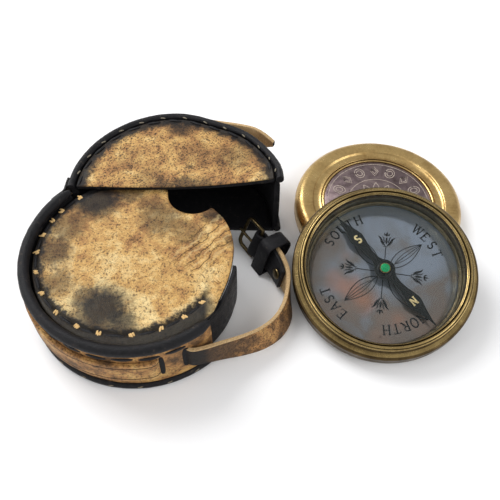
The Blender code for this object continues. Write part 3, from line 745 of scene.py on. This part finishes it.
def build_cup():
    inner = [(0.0, 1.8), (31.4, 1.8), (31.4, 10.5), (31.5, 10.6), (33.2, 10.6), (33.2, 11.9)]
    neck = [(34.55, 11.95), (34.7, 11.8)] + thread_ridges(34.7, 11.55, 3, 0.62, 0.42)
    shoulder = [(34.7, 9.5), (34.85, 9.36), (35.1, 9.3), (36.2, 9.3)]
    belly = arc(1.1, 85, 0, 7, (36.4, 8.2)) + [(37.5, 7.0), (37.42, 6.6), (37.5, 6.2), (37.5, 4.6)]
    heel = arc(4.5, 0, -84, 12, (33.0, 4.5))
    profile = inner + neck + shoulder + belly + heel + [(32.6, 0.0), (0.0, 0.0)]
    kinds = [0] * (len(inner) + 1) + [1] * (len(neck) - 1) + [3] * len(shoulder)
    kinds += [2] * (len(profile) - 1 - len(kinds))
    turned("cup_body", profile, [WALL_BRASS, BODY_BRASS, BODY_BRASS, BEZEL_BRASS], ON_COMPASS, "base_cup",
           kinds=kinds)
    lip = arc(0.6, 200, 110, 5, (32.75, 12.95))
    crest = arc(0.8, 105, 35, 7, (33.45, 12.95))
    bead = arc(0.36, 110, -20, 7, (34.5, 12.8))
    start = [(31.95, 12.2), (31.98, 12.6)] + lip
    groove = [(32.85, 13.05), (32.95, 13.1)]
    second = [(34.1, 12.75), (34.2, 12.8)]
    rim = start + groove + crest + second + bead + [(34.78, 12.4), (34.6, 12.2)]
    # The groove bands of the rim take the darker brass, as painted shade.
    marks = [0] * (len(start) - 1) + [1] * 3 + [0] * (len(crest) - 1) + [1] * 3 + [0] * len(bead)
    marks += [0] * (len(rim) - len(marks))
    turned("bezel_rim", rim, [BEZEL_BRASS, GROOVE_SHADE_BRASS], ON_COMPASS, "bezel_ring",
           closed=True, steps=180, kinds=marks)
    turned("dial_wall_ring", [(30.05, 5.9), (30.15, 6.5), (30.6, 7.1), (31.15, 7.25), (31.15, 5.85),
                              (30.2, 5.8)], WALL_BRASS, ON_COMPASS, "dial_ring",
           closed=True)
    turned("dial_face", [(1.9, 5.57), (2.0, DIAL_TOP), (30.9, DIAL_TOP), (31.1, 5.5), (31.1, 4.7),
                         (1.9, 4.7)], DIAL_METAL, ON_COMPASS, "dial_plate", closed=True)
    turned("cover_glass", [(0.0, 12.0), (32.8, 12.0), (32.9, 11.9), (32.9, 11.3), (0.0, 11.3)], GLASS,
           ON_COMPASS, "glass")
    turned("dial_seat", [(27.5, 4.45), (31.1, 4.45), (31.1, 2.1), (27.5, 2.1)], WALL_BRASS, ON_COMPASS,
           "dial_seat_ring", closed=True)
    turned("glass_seal", [(31.6, 11.05), (33.0, 11.05), (33.0, 10.8), (31.6, 10.8)], CORK, ON_COMPASS,
           "glass_gasket", closed=True)
    turned("pivot_tip", [(0.0, 9.9), (0.42, 9.0), (0.42, 7.75), (0.0, 7.75)], BLACK_STEEL, ON_COMPASS,
           "pivot_pin", steps=24)
    turned("pivot_boss", [(0.0, 7.5), (0.9, 7.5), (1.15, 6.6), (2.5, 6.45), (2.9, 6.2), (2.9, 5.85),
                          (1.5, 5.85), (1.5, 2.1), (0.0, 2.1)], BEZEL_BRASS, ON_COMPASS, "pivot_post",
           steps=48)


FLEUR = [  # one half of the flower, as (across, outward); each is mirrored
    [(0.0, 0.9), (0.5, 2.2), (0.34, 3.5), (0.0, 4.4)],
    [(0.2, 0.2), (1.5, 0.8), (2.35, 2.1), (2.55, 3.2), (3.5, 4.5), (2.6, 4.15), (1.8, 3.4), (1.3, 2.3),
     (0.75, 1.3)],
    [(0.62, 1.3), (1.15, 2.3), (1.3, 3.5), (1.75, 4.75), (0.98, 3.95), (0.72, 2.8)],
    [(0.0, 4.6), (0.42, 5.2), (0.3, 6.1), (0.0, 7.0)],
    [(0.18, 4.8), (0.8, 4.95), (1.3, 5.6), (1.12, 6.3), (0.78, 5.75), (0.42, 5.4)],
    [(0.0, -0.1), (0.95, -0.2), (0.85, 0.15), (0.0, 0.1)]]


def build_rose():
    low, top = DIAL_TOP - 0.02, DIAL_TOP + 0.035
    shapes = []

    def along(direction, across, outward):
        turn = math.radians(direction)
        return (outward * math.cos(turn) - across * math.sin(turn),
                outward * math.sin(turn) + across * math.cos(turn))

    for quarter in range(4):
        flower = 90.0 * quarter + 90.0 + ROSE_TURN
        shapes.append(stroke([along(flower, 0.0, r) for r in (3.4, 8.0, 11.5)], 0.36, low, top))
        for outline in FLEUR:
            for mirror in (1.0, -1.0):
                shapes.append(prism([along(flower, mirror * a * 1.05, 11.4 + b) for a, b in outline],
                                    low, top))
        leaf = flower - 45.0
        for width, first, thick in ((3.0, 3.2, 0.34), (1.25, 6.0, 0.26)):
            for mirror in (1.0, -1.0):
                edge = []
                for i in range(15):
                    t = i / 14
                    half = mirror * width * math.sin(math.pi * t ** 0.85) ** 0.9
                    edge.append(along(leaf, half, first + (20.4 - first) * t))
                shapes.append(stroke(edge, thick, low, top))
        shapes.append(stroke([along(leaf, 0.0, r) for r in (3.6, 12.0, 20.6)], 0.3, low, top))
    joined("dial_rose", shapes, INK, ON_COMPASS)
    words = {"WEST": (58.0, 48.0, 38.0, 28.0), "SOUTH": (157.0, 147.6, 138.2, 128.8, 119.4),
             "EAST": (236.0, 227.0, 218.0, 209.0), "NORTH": (317.0, 308.0, 299.0, 290.0, 281.0)}
    letters = []
    for word, angles in words.items():
        for character, angle in zip(word, angles):
            letters += letter(character, 3.9, polar(24.6, angle, (-0.9, 0.0)), angle - 90.0, low, top,
                              0.6, 0.4)
    joined("dial_words", letters, INK, ON_COMPASS)


BLADE = [(29.9, 0.16), (26.5, 0.6), (22.6, 1.6), (19.6, 2.6), (17.4, 3.05), (15.0, 2.6),
         (12.0, 1.85), (8.5, 1.4), (5.4, 1.6)]   # one quarter of the needle's outline


def build_needle():
    eye = [polar(4.3, a) for a in (35, 60, 90, 120, 145)]
    upper = BLADE + eye + [(-x, y) for x, y in reversed(BLADE)]
    outline = upper + [(x, -y) for x, y in reversed(upper)]
    count = len(outline)
    levels = ((8.8, 0.0), (9.05, 0.0), (9.25, 0.32))
    verts = []
    for z, inset in levels:
        for x, y in outline:
            pull = min(inset, abs(y) * 0.7)
            verts.append((x - math.copysign(inset, x) * (abs(x) > 20), y - math.copysign(pull, y), z))
    faces = [tuple(range(count)), tuple(2 * count + i for i in range(count))]
    for level in range(2):
        for i in range(count):
            k = (i + 1) % count
            a = level * count
            faces.append((a + i, a + k, a + count + k, a + count + i))
    piece("needle_arrow", verts, faces, BLACK_STEEL, ON_NEEDLE, "needle_blade", sharp=20.0)
    cap = [(0.0, 10.42), (1.9, 10.42), (2.2, 10.3), (2.4, 10.0), (2.75, 9.4), (3.3, 9.2), (3.6, 8.95),
           (3.9, 8.6), (3.9, 7.95), (1.4, 7.9), (0.9, 9.6), (0.0, 10.15)]
    turned("needle_boss", cap, BLACK_STEEL, ON_NEEDLE, "needle_hub", steps=64)
    turned("jewel_cap", [(0.0, 11.06), (0.9, 11.03), (1.5, 10.95), (1.8, 10.82), (1.88, 10.7),
                         (1.84, 10.5), (0.0, 10.5)], JEWEL, ON_NEEDLE, "needle_jewel",
           steps=48, sharp=60.0)
    turned("jewel_collar", [(1.9, 10.62), (2.12, 10.6), (2.2, 10.45), (2.15, 10.35), (1.9, 10.35)],
           BEZEL_BRASS, ON_NEEDLE, steps=48, closed=True)
    marks = (letter("S", 3.3, (-16.6, 0.0), 90.0, 9.2, 9.33, 0.75, 0.5)
             + letter("N", 3.0, (17.2, 0.0), -90.0, 9.2, 9.33, 0.75, 0.5))
    joined("needle_letters", marks, LETTER_CREAM, ON_NEEDLE)


# ---------------------------------------------------------------- lid

def build_lid():
    bore = [(0.0, 5.5), (32.6, 5.5), (33.6, 5.3), (35.2, 4.6), (35.45, 4.0)]
    bore += thread_ridges(35.5, 3.4, 3, 0.6, 0.3) + [(35.5, 1.3), (35.9, 0.0)]
    skirt = [(37.15, 0.0), (37.4, 0.12), (37.5, 0.4), (37.5, 3.9)]
    crown = arc(4.2, 4, 93, 16, (33.3, 4.75))
    shelf = [(32.2, 8.95), (31.0, 8.84), (30.2, 8.78), (29.75, 8.68), (29.5, 8.5), (29.36, 8.2)]
    cove = [(29.0, 7.9), (28.4, 7.68), (27.6, 7.58), (26.9, 7.62), (26.3, 7.76), (26.0, 7.92),
            (25.86, 7.94), (25.78, 7.84), (25.78, 6.72), (0.0, 6.7)]
    turned("lid_cover", list(reversed(bore + skirt + crown + shelf + cove)), LID_BRASS, ON_LID,
           "lid_shell", steps=180)
    turned("lid_inner_ring", [(24.35, 7.5), (24.45, 7.78), (24.75, 7.95), (25.05, 7.9), (25.3, 7.7),
                              (25.36, 7.4), (25.36, 6.98), (24.35, 6.98)], LID_BRASS, ON_LID,
           "medallion_ring", closed=True, steps=180)
    turned("lid_plate", [(0.0, 7.5), (23.9, 7.5), (24.1, 7.4), (24.1, 6.95), (0.0, 6.95)], MEDALLION,
           ON_LID, "lid_medallion")
    low, top = 7.47, 7.56
    shapes = []

    def closed_line(points, width):
        shapes.append(stroke(points + points[:2], width, low, top))

    motifs = 16
    for i in range(motifs):
        middle = 360.0 * i / motifs
        place = polar(18.4, middle)
        out = place.normalized()
        side = Vector((-out.y, out.x))
        if i % 2:
            for size in (2.5, 1.45):
                closed_line([tuple(place + out * size * 1.1 * math.sin(TAU * k / 20)
                                   + side * size * 0.86 * math.cos(TAU * k / 20)) for k in range(20)],
                            0.3)
        else:
            for size in (2.9, 1.6):
                closed_line([tuple(place + out * a * size + side * b * size)
                             for a, b in ((1.0, 0.0), (0.0, 0.62), (-1.0, 0.0), (0.0, -0.62))], 0.3)
    for radius in (22.6, 13.4):
        closed_line([polar(radius, 3.0 * k) for k in range(120)], 0.24)
    for i in range(12):
        for lean in (11.0, -11.0):
            petal = [polar(2.0 + 9.4 * k / 12, 30.0 * i + lean * math.sin(math.pi * k / 12))
                     for k in range(13)]
            shapes.append(stroke(petal, 0.26, low, top))
    joined("lid_ornament", shapes, PALE_INK, ON_LID)


# ---------------------------------------------------------------- leather case

FRONT_RADIUS = 40.3
BASE_RADIUS = 41.8
WALL_MIDDLE = 42.45
WELT_PATH = 43.5
LEATHER = 2.2
FRONT_TOP = 26.4
HOOD_TOP = 29.4
HOOD_ARC = (-44.4, 134.4)
STITCH_CENTRE = (-2.2, 1.2)
STITCH_RADIUS = 36.7


def front_outline():
    stitched = arc(FRONT_RADIUS, 100, 322, 60)
    free = smooth_path([(34.0, -18.6), (36.6, -11.0), (38.0, -3.0), (38.4, 5.0), (37.0, 12.5),
                        (33.8, 19.3), (29.5, 24.4)], 4)
    notch = arc(10.9, -44, -166, 18, (21.0, 32.2))
    return stitched + free + notch + [(9.6, 36.4), (4.5, 39.2)]


# Pinched lines in the front panel: where each starts and ends, and how deep it is.
CREASES = [((13.0, -6.5), (31.5, 12.5), 0.42), ((18.0, -8.5), (35.5, 7.5), 0.36),
           ((24.0, -9.5), (36.5, 1.0), 0.34), ((14.0, 1.5), (28.5, 17.5), 0.26),
           ((27.0, -13.0), (36.0, -6.0), 0.3), ((-20.0, 14.0), (-6.0, 20.0), 0.15)]


def crease_depth(x, y):
    depth = 0.0
    for (x0, y0), (x1, y1), deep in CREASES:
        along = Vector((x1 - x0, y1 - y0))
        length = along.length
        along /= length
        t = ((x - x0) * along.x + (y - y0) * along.y) / length
        off = (x - x0) * -along.y + (y - y0) * along.x + wobble(x, y, 0.0, 5.0, 1.0)
        if -0.1 < t < 1.1:
            fade = max(0.0, 1.0 - abs(t - 0.5) * 1.9)
            groove, fold = math.exp(-(off / 0.45) ** 2), math.exp(-((off - 1.3) / 0.8) ** 2)
            depth += deep * fade * (groove - 0.5 * fold)
    return depth


def front_relief(x, y):
    radius, angle = math.hypot(x, y), math.degrees(math.atan2(y, x)) % 360.0
    height = 0.35 * (1.0 - (radius / 40.0) ** 2)
    height += wobble(x, y, 1.0, 14.0, 0.4) + wobble(x, y, 5.0, 5.0, 0.12) + wobble(x, y, 9.0, 1.8, 0.04)
    height -= crease_depth(x, y)
    if 118.0 < angle < 335.0:
        reach = math.hypot(x - STITCH_CENTRE[0], y - STITCH_CENTRE[1])
        height -= 0.75 * math.exp(-((reach - 36.6) / 0.8) ** 2)
        height += 0.25 * math.exp(-((reach - 34.6) / 1.2) ** 2)
    return max(-0.9, min(0.62, height))


def flat(x, y):
    return 0.0


def hood_relief(x, y):
    reach = math.hypot(x, y)
    height = wobble(x, y, 21.0, 16.0, 0.25) + wobble(x, y, 5.0, 4.0, 0.08) + wobble(x, y, 9.0, 1.6, 0.03)
    height -= 0.45 * math.exp(-((reach - 39.4) / 0.7) ** 2)
    return max(-0.7, min(0.45, height))


def wall_section(low, high, thick, bulge=0.25):
    """An upright wall's section, outer face first, with a faint roll to its edges."""
    half, points, kinds = thick / 2, [], []
    for i in range(19):
        t = i / 18
        round_off = 0.35 * max(0.0, 1.0 - min(t, 1.0 - t) * 12) ** 2
        points.append((half + bulge * math.sin(math.pi * t) - round_off, low + (high - low) * t))
        kinds.append(0)
    kinds[-1] = 1
    for i in range(7):
        t = 1.0 - i / 6
        points.append((-half + 0.2 * (t in (0.0, 1.0)), low + (high - low) * t))
        kinds.append(1)
    return points, kinds


def wall_frames(radius, start, end, count=110, ripple=0.0):
    frames = []
    for i in range(count):
        angle = start + (end - start) * i / (count - 1)
        out = facing(angle)
        frames.append((out * (radius + wobble(angle / 4.0, 0.0, 3.0, 3.0, ripple)), out, UP))
    return frames


def strap_section(width, thick, tooled=True):
    """A strap's section: outer face with two tooled lines, pale edges, flesh side within."""
    half, edge = thick / 2, width / 2
    marks = [(half - 0.32, -edge, 2), (half - 0.06, -edge + 0.3, 0)]
    for sign in (-1, 1):
        line = sign * (edge - 1.9)
        if tooled:
            marks += [(half, line - 0.5, 0), (half, line - 0.26, 3), (half - 0.22, line, 3),
                      (half, line + 0.26, 0)]
        marks.append((half, line - sign * 0.9 if sign < 0 else line + 0.9, 0))
    marks = sorted(marks, key=lambda mark: mark[1])
    marks += [(half - 0.06, edge - 0.3, 2), (half - 0.32, edge, 2), (-half + 0.25, edge, 2),
              (-half, edge - 0.3, 1), (-half, 0.0, 1), (-half, -edge + 0.3, 2),
              (-half + 0.25, -edge, 2)]
    return [(a, b) for a, b, _ in marks], [kind for _, _, kind in marks]


def build_pouch():
    panel("case_front", front_outline(), (1.0, -2.0), FRONT_TOP - LEATHER, FRONT_TOP, front_relief,
          [FRONT_TAN, BLACK, BLACK_MATT], ON_POUCH, "pouch_front")
    panel("case_back", arc(BASE_RADIUS, 135, 315, 60), polar(14.0, 225), 0.0, LEATHER, flat,
          [BLACK_MATT, BLACK, WALL_TAN], ON_POUCH, "pouch_back", 12, 120)
    section, kinds = wall_section(2.25, 25.9, 2.3)
    sweep("case_wall", wall_frames(WALL_MIDDLE, 135.1, 314.9, ripple=0.12), section, [WALL_TAN, BLACK_MATT],
          ON_POUCH, "pouch_wall", kinds)
    top = [tuple(p) + (28.0 + wobble(i / 3.0, 0.0, 0.0, 4.0, 0.12),)
           for i, p in enumerate(arc(42.85, 135.0, 314.5, 100))]
    ends = [2.2 * min(1.0, 0.55 + 0.15 * i) for i in range(4)]
    radii = ends + [2.2] * (len(top) - 8) + ends[::-1]
    round_tube("case_welt_top", top, radii, BLACK, ON_POUCH, "pouch_welt_top", sides=18,
               lump=0.06)
    base = [tuple(p) + (1.56,) for p in arc(WELT_PATH, 135.0, 314.5, 100)]
    round_tube("case_welt_bottom", base, 1.54, BLACK, ON_POUCH, "pouch_welt_bottom",
               sides=14, lump=0.05)
    frames = []
    for i, (_, out, up) in enumerate(wall_frames(40.0, 303.5, 354.0, 40)):
        t = i / 39
        frames.append((out * (39.9 - 0.9 * t + wobble(t * 9.0, 0.0, 2.0, 1.5, 0.2)), out, up,
                       1.0 + 0.095 * min(1.0, max(0.0, (t - 0.45) * 4.0))))
    section, _ = wall_section(2.9, 23.8, 1.8, 0.1)
    sweep("case_tongue", frames, section, [BLACK], ON_POUCH, "wall_tongue")
    build_stitches()


def build_stitches():
    knots, thongs, dull = [], [], []
    angles = [131, 146, 155, 167, 180, 195, 211, 228, 244, 258, 277, 294, 309, 323, 340]

    def on_front(radius, angle, lift):
        x, y = polar(radius, angle, STITCH_CENTRE)
        return Vector((x, y, FRONT_TOP + front_relief(x, y) + lift))

    for number, (angle, following) in enumerate(zip(angles, angles[1:] + [None])):
        out, along = facing(angle), facing(angle + 90)
        for strand in range(3):
            lean = out + along * (0.35 * math.sin(number * 2.1) + 0.06 * strand)
            offset = along * (0.62 * (strand - 1)) + out * (0.5 * math.sin(number * 1.3 + strand * 2.3))
            knots.append(capsule(2.5 + 0.5 * math.sin(number * 3.1 + strand * 2.0), 0.8, 0.7,
                                 on_front(STITCH_RADIUS, angle, 0.34) + offset, lean, UP, 0.25))
        if following and following != angles[-1]:
            middle, length = (angle + following) / 2, math.radians(following - angle) * STITCH_RADIUS * 0.6
            thongs.append(capsule(length, 1.5, 0.7, on_front(STITCH_RADIUS + 0.2, middle, 0.1),
                                  facing(middle + 90), UP, 0.1))
    for number in range(13):
        out, along = facing(140.0 + 12.9 * number), facing(230.0 + 12.9 * number)
        height = 22.9 + 0.3 * math.sin(number * 2.7)
        thongs.append(capsule(8.2, 1.9, 1.0, out * 43.8 + UP * height, along, out, 0.4))
    for number in range(12):
        out, along = facing(143.0 + 14.6 * number), facing(233.0 + 14.6 * number)
        dull.append(capsule(2.2, 0.6, 0.5, out * 44.9 + UP * 2.1, along + UP * 0.25, out, 0.05))
    joined("case_knots", knots, THREAD, ON_POUCH, 70.0)
    joined("case_base_stitches", dull, THREAD_DULL, ON_POUCH, 70.0)
    joined("case_thongs", thongs, BLACK, ON_POUCH, 70.0)


def build_hood():
    start, end = HOOD_ARC
    panel("hood_front_panel", arc(41.2, start, end, 80), polar(14.0, 45), HOOD_TOP - LEATHER, HOOD_TOP,
          hood_relief, [HOOD_TAN, BLACK, BLACK_MATT], ON_HOOD, "hood_front", 34, 240)
    panel("hood_back_panel", arc(BASE_RADIUS, start, end, 80), polar(14.0, 45), 0.0, LEATHER, flat,
          [BLACK_MATT, BLACK, WALL_TAN], ON_HOOD, "hood_back", 12, 120)
    section, kinds = wall_section(2.25, 27.0, 2.3)
    sweep("hood_side", wall_frames(WALL_MIDDLE, start, end, ripple=0.12), section, [WALL_TAN, BLACK_MATT],
          ON_HOOD, "hood_wall", kinds)
    for name, height, radius in (("hood_welt_top", 28.42, 1.56), ("hood_welt_bottom", 1.57, 1.54)):
        points = [tuple(p) + (height,) for p in arc(WELT_PATH, start, end, 100)]
        round_tube(name + "_rolled", points, radius, BLACK, ON_HOOD, name, sides=16,
                   lump=0.06)
    grey, black = [], []
    for number in range(13):
        out, along = facing(-38.0 + 13.5 * number), facing(52.0 + 13.5 * number)
        grey.append(capsule(2.2, 0.6, 0.5, out * 41.9 + UP * 29.55, along + out * 0.3, UP, 0.1))
        black.append(capsule(6.0, 1.3, 0.7, (out + along * 0.11).normalized() * 40.2
                             + UP * 29.2, along, UP, 0.1))
    joined("hood_stitches", grey, THREAD_DULL, ON_HOOD, sharp=70.0)
    joined("hood_thongs", black, BLACK, ON_HOOD, sharp=70.0)


# ---------------------------------------------------------------- strap and buckle

STRAP_MIDDLE = 15.0
STRAP_SIZE = (12.0, 1.7)


def build_hood_strap():
    on_wall = arc(44.75, 131, 50, 34)
    leave, heading = on_wall[-1], math.radians(-40)
    free = [leave + 6.7 * i * Vector((math.cos(heading - 0.045 * i), math.sin(heading - 0.045 * i)))
            for i in [k / 3 for k in range(1, 22)]]
    path = on_wall + free
    total = len(path)
    frames = []
    for i, (point, out, up) in enumerate(path_frames(path, 0.0, -1.0)):
        rise = 9.0 + 6.3 * min(1.0, (min(i, 33) / 33 * 15 + max(0, i - 33) / 3) / 17.5)
        left = (total - 1 - i) * 2.2
        taper = min(1.0, 0.22 + 0.78 * math.sin(min(1.0, left / 11.0) * math.pi / 2))
        frames.append((point + up * (rise + 6.0), out, up, taper))
    section, kinds = strap_section(*STRAP_SIZE)
    sweep("strap_tip", frames, section, [STRAP_TAN, FLESH, FLESH, BLACK_MATT], ON_HOOD, "strap_tongue",
          kinds)


LOOP_ROUTE = [
    (-23.4, -58.7, 15.0, 0), (-20.8, -59.8, 14.7, 0), (-16.4, -58.1, 13.3, 0),
    (-9.6, -54.8, 10.9, -4), (-1.8, -51.4, 8.8, -10),
    (5.6, -47.4, 7.4, -16), (11.6, -42.0, 6.7, -19), (15.2, -34.9, 6.6, -16), (16.0, -27.0, 6.9, -5),
    (15.0, -19.9, 7.3, 10), (12.4, -13.6, 7.5, 20), (9.3, -8.4, 7.6, 25), (6.5, -4.3, 7.5, 25)]
SHIFT = Vector((-2.344, 3.86))


class StrapPoint:
    """A place on the free loop's middle line, with the way it runs, faces and stands."""

    def __init__(self, middle, ahead, lean):
        self.middle = Vector(middle)
        self.ahead = Vector((ahead[0], ahead[1], 0.0)).normalized()
        outward = Vector((self.ahead.y, -self.ahead.x, 0.0))
        self.across = outward * math.sin(lean) + UP * math.cos(lean)
        self.inward = UP * math.sin(lean) - outward * math.cos(lean)

    def shifted(self, along, inward):
        moved = StrapPoint(self.middle + self.ahead * along + self.inward * inward, self.ahead, 0.0)
        moved.across, moved.inward = self.across, self.inward
        return moved


def loop_points():
    route = smooth_path([(x + SHIFT.x, y + SHIFT.y, z, math.radians(lean))
                         for x, y, z, lean in LOOP_ROUTE], 6)
    points = []
    for i, (x, y, z, lean) in enumerate(route):
        back, front = route[max(i - 1, 0)], route[min(i + 1, len(route) - 1)]
        points.append(StrapPoint((x, y, z), (front[0] - back[0], front[1] - back[1]), lean))
    return points


def build_strap():
    band = arc(44.75, 137.5, 282.1, 90)
    band += [polar(44.4, 283.8), polar(43.6, 284.8), polar(42.7, 285.6)]
    section, kinds = strap_section(*STRAP_SIZE)
    sweep("strap_round_case", path_frames(band, STRAP_MIDDLE), section,
          [STRAP_TAN, FLESH, STRAP_TAN, BLACK_MATT], ON_POUCH, "strap_band", kinds)
    section, kinds = strap_section(*STRAP_SIZE, False)
    sweep("strap_inside", wall_frames(40.1, 285.3, 300.6, 12), [(a, b + STRAP_MIDDLE) for a, b in section],
          [STRAP_TAN, FLESH, FLESH], ON_POUCH, "strap_tuck", kinds)
    # Black lenses on the wall where the strap goes through: painted shade for the dark slit openings.
    slit_shades = []
    for angle, width in ((287.0, 2.6), (299.6, 3.6)):
        out = facing(angle)
        slit_shades.append(capsule(14.0, width, 0.6, out * 43.72 + UP * STRAP_MIDDLE, UP, out))
    joined("strap_slit_shades", slit_shades, BLACK_MATT, ON_POUCH, sharp=70.0)

    loop = loop_points()
    section, kinds = strap_section(*STRAP_SIZE, False)
    sweep("strap_free_loop", [(p.middle, -p.inward, p.across) for p in loop], section,
          [LOOP_TAN, FLESH, FLESH], ON_STRAP, "strap_loop", kinds)
    reach = 0.85 + 0.85 + 0.3
    bar = loop[-1].shifted(3.4, reach)
    around = [bar.shifted(reach * math.sin(a), -reach * math.cos(a))
              for a in [math.pi * i / 14 for i in range(15)]]
    step_down = [bar.shifted(-1.2, reach - 0.35), bar.shifted(-2.3, reach - 1.1)]
    back, gone = [], 0.0
    for here, before in zip(reversed(loop), reversed(loop[:-1])):
        if gone <= 19.0:
            back.append(here.shifted(0.0, 0.35 + 1.7))
        gone += (here.middle - before.middle).length
    fold = [bar.shifted(-3.1, -reach)] + around + step_down + back
    frames = []
    for i, point in enumerate(fold):
        ahead = fold[min(i + 1, len(fold) - 1)].middle - fold[max(i - 1, 0)].middle
        frames.append((point.middle, ahead.cross(point.across).normalized(), point.across))
    section, kinds = strap_section(11.0, 1.6, False)
    sweep("strap_folded_end", frames, section, [BLACK, BLACK_MATT, BLACK], ON_STRAP, "strap_fold",
          kinds)
    face = back[-4].shifted(0.0, 0.85 + 0.75)
    out = face.inward
    side = out.cross(face.across).normalized()
    rivet = axes_matrix(side, out.cross(side), out, face.middle * MM)
    turned("strap_rivet", [(0.0, 0.6), (1.0, 0.5), (1.8, 0.25), (2.3, -0.05), (2.35, -0.35),
                           (0.0, -0.4)], BRONZE, ("pouch", rivet), "fold_rivet", steps=40,
           sharp=60.0)
    build_keeper(loop[-1].shifted(3.4, 0.0))
    build_hinge()


def build_keeper(place):
    """A soft loop of thin leather round the strap, open on its outer side."""
    hole = smooth_path([(-6.2, 1.45), (-4.2, 7.5), (-1.9, 13.95), (3.6, 13.95), (6.7, 13.1), (7.6, 10.6),
                        (6.0, 7.2), (3.2, 4.0), (0.6, 1.45), (-3.0, 1.4), (-6.2, 1.45)], 3)[:-1]
    outer = smooth_path([(-7.5, 0.45), (-5.0, 7.5), (-2.4, 14.75), (3.8, 14.75), (7.5, 13.9), (8.6, 10.8),
                         (7.0, 6.7), (4.0, 3.2), (1.2, 0.45), (-3.0, 0.4), (-7.5, 0.45)], 3)[:-1]
    middle = place.middle - place.ahead * (3.3 + 3.4)
    outward = Vector((place.ahead.y, -place.ahead.x, 0.0))
    base = Vector((middle.x, middle.y, 0.0))
    rows = []
    for a, b in zip(hole, outer):
        lip_a, lip_b = Vector(a).lerp(Vector(b), 0.2), Vector(a).lerp(Vector(b), 0.8)
        ring = [(lip_a, 3.4), (lip_b, 3.4), (Vector(b), 3.1), (Vector(b), -3.1), (lip_b, -3.4),
                (lip_a, -3.4), (Vector(a), -3.1), (Vector(a), 3.1)]
        rows.append([base + outward * p.x + UP * p.y + place.ahead * s for p, s in ring])
    verts, faces = lattice(rows, True)
    piece("strap_keeper", verts, faces, BLACK, ON_STRAP, "keeper_loop", sharp=50.0)


def build_hinge():
    """The leather that bends between the pouch and the hood, at the case's outer corner."""
    pouch = POUCH.translation.xy / MM
    hood = HOOD.translation.xy / MM
    route = [polar(46.45, 135 + a, pouch) for a in (9.0, 6.0, 3.6, 1.6)]
    route += [HINGE.xy / MM + Vector((-1.45, 0.62))]
    route += [polar(46.45, 180 - a, hood) for a in (1.6, 3.6, 6.0, 9.0)]
    section, kinds = strap_section(24.0, 1.2, False)
    frames = path_frames(smooth_path(route, 3), STRAP_MIDDLE, -1.0)
    strip = sweep("hinge_strip", frames, section, [BLACK, BLACK, BLACK], BETWEEN, "hinge_leather",
                  kinds)
    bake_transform(strip)


def build_buckle():
    half, length, corner = 14.3 / 2, 9.6, 2.4
    loop = [(0.0, 0.0, -half + 14.3 * i / 8) for i in range(9)]
    far = [(length - corner + corner * math.sin(a), 0.0, half - corner + corner * math.cos(a))
           for a in [math.radians(d) for d in range(0, 91, 15)]]
    loop += [(3.6, 0.0, half)] + far + [(length, 0.0, 0.0)]
    loop += [(x, y, -z) for x, y, z in reversed(far)] + [(3.6, 0.0, -half)]
    round_tube("buckle_wire", loop, 0.84, BRONZE, ON_BUCKLE, "buckle_frame", closed=True)
    reach = 0.85 + 0.65 + 0.15
    eye = [(reach * math.cos(a), reach * math.sin(a), 0.0) for a in
           [math.radians(d) for d in range(90, 351, 15)]]
    shaft = smooth_path([(length + 1.0, reach + 0.05, 0.0), (6.0, reach + 0.25, 0.0),
                         (2.2, reach + 0.1, 0.0), eye[0]], 5)[:-1]
    round_tube("buckle_pin", shaft + eye, [0.42, 0.54] + [0.63] * (len(shaft) + len(eye) - 2), BRONZE,
               ON_PRONG, "buckle_prong", sides=12)


# ---------------------------------------------------------------- studio

def build_studio():
    mesh = bpy.data.meshes.new("studio_floor")
    mesh.from_pydata([(-3, -3, 0), (3, -3, 0), (3, 3, 0), (-3, 3, 0)], [], [(0, 1, 2, 3)])
    floor = bpy.data.objects.new("studio_floor", mesh)
    bpy.context.scene.collection.objects.link(floor)
    paper = bpy.data.materials.new("studio_paper")
    paper.use_nodes = True
    shader = paper.node_tree.nodes["Principled BSDF"]
    shader.inputs["Base Color"].default_value = (0.93, 0.93, 0.94, 1.0)
    shader.inputs["Roughness"].default_value = 0.85
    mesh.materials.append(paper)

    bpy.context.scene.view_settings.view_transform = "Standard"
    world = bpy.data.worlds.new("studio_air")
    world.use_nodes = True
    air = world.node_tree.nodes["Background"]
    air.inputs["Color"].default_value = (1.0, 1.0, 1.0, 1.0)
    air.inputs["Strength"].default_value = 0.6
    bpy.context.scene.world = world

    for name, place, size, power in (("key", (-0.55, 0.5, 0.75), 0.6, 8.5),
                                     ("fill", (0.7, -0.35, 0.55), 0.6, 3.0),
                                     ("left", (-0.8, -0.35, 0.45), 0.5, 2.0)):
        light = bpy.data.lights.new(name, "AREA")
        light.size = size
        light.energy = power
        obj = bpy.data.objects.new(name, light)
        obj.location = place
        obj.rotation_euler = (-Vector(place)).to_track_quat("-Z", "Y").to_euler()
        bpy.context.scene.collection.objects.link(obj)


def build_camera():
    elevation, distance, roll = math.radians(54.6), 0.3035, math.radians(0.73)
    target = Vector((SHIFT.x * MM, SHIFT.y * MM, 0.0))
    forward = Vector((0.0, math.cos(elevation), -math.sin(elevation)))
    right, up = Vector((1.0, 0.0, 0.0)), Vector((0.0, math.sin(elevation), math.cos(elevation)))
    side = right * math.cos(roll) + up * math.sin(roll)
    above = up * math.cos(roll) - right * math.sin(roll)
    camera = bpy.data.cameras.new("view")
    camera.sensor_width = 36.0
    camera.lens = 49.46
    camera.clip_start = 0.01
    obj = bpy.data.objects.new("view", camera)
    obj.matrix_world = axes_matrix(side, above, -forward, target - forward * distance)
    bpy.context.scene.collection.objects.link(obj)
    bpy.context.scene.camera = obj


build_camera()
build_studio()
build_cup()
build_rose()
build_needle()
build_lid()
build_pouch()
build_hood()
build_hood_strap()
build_strap()
build_buckle()
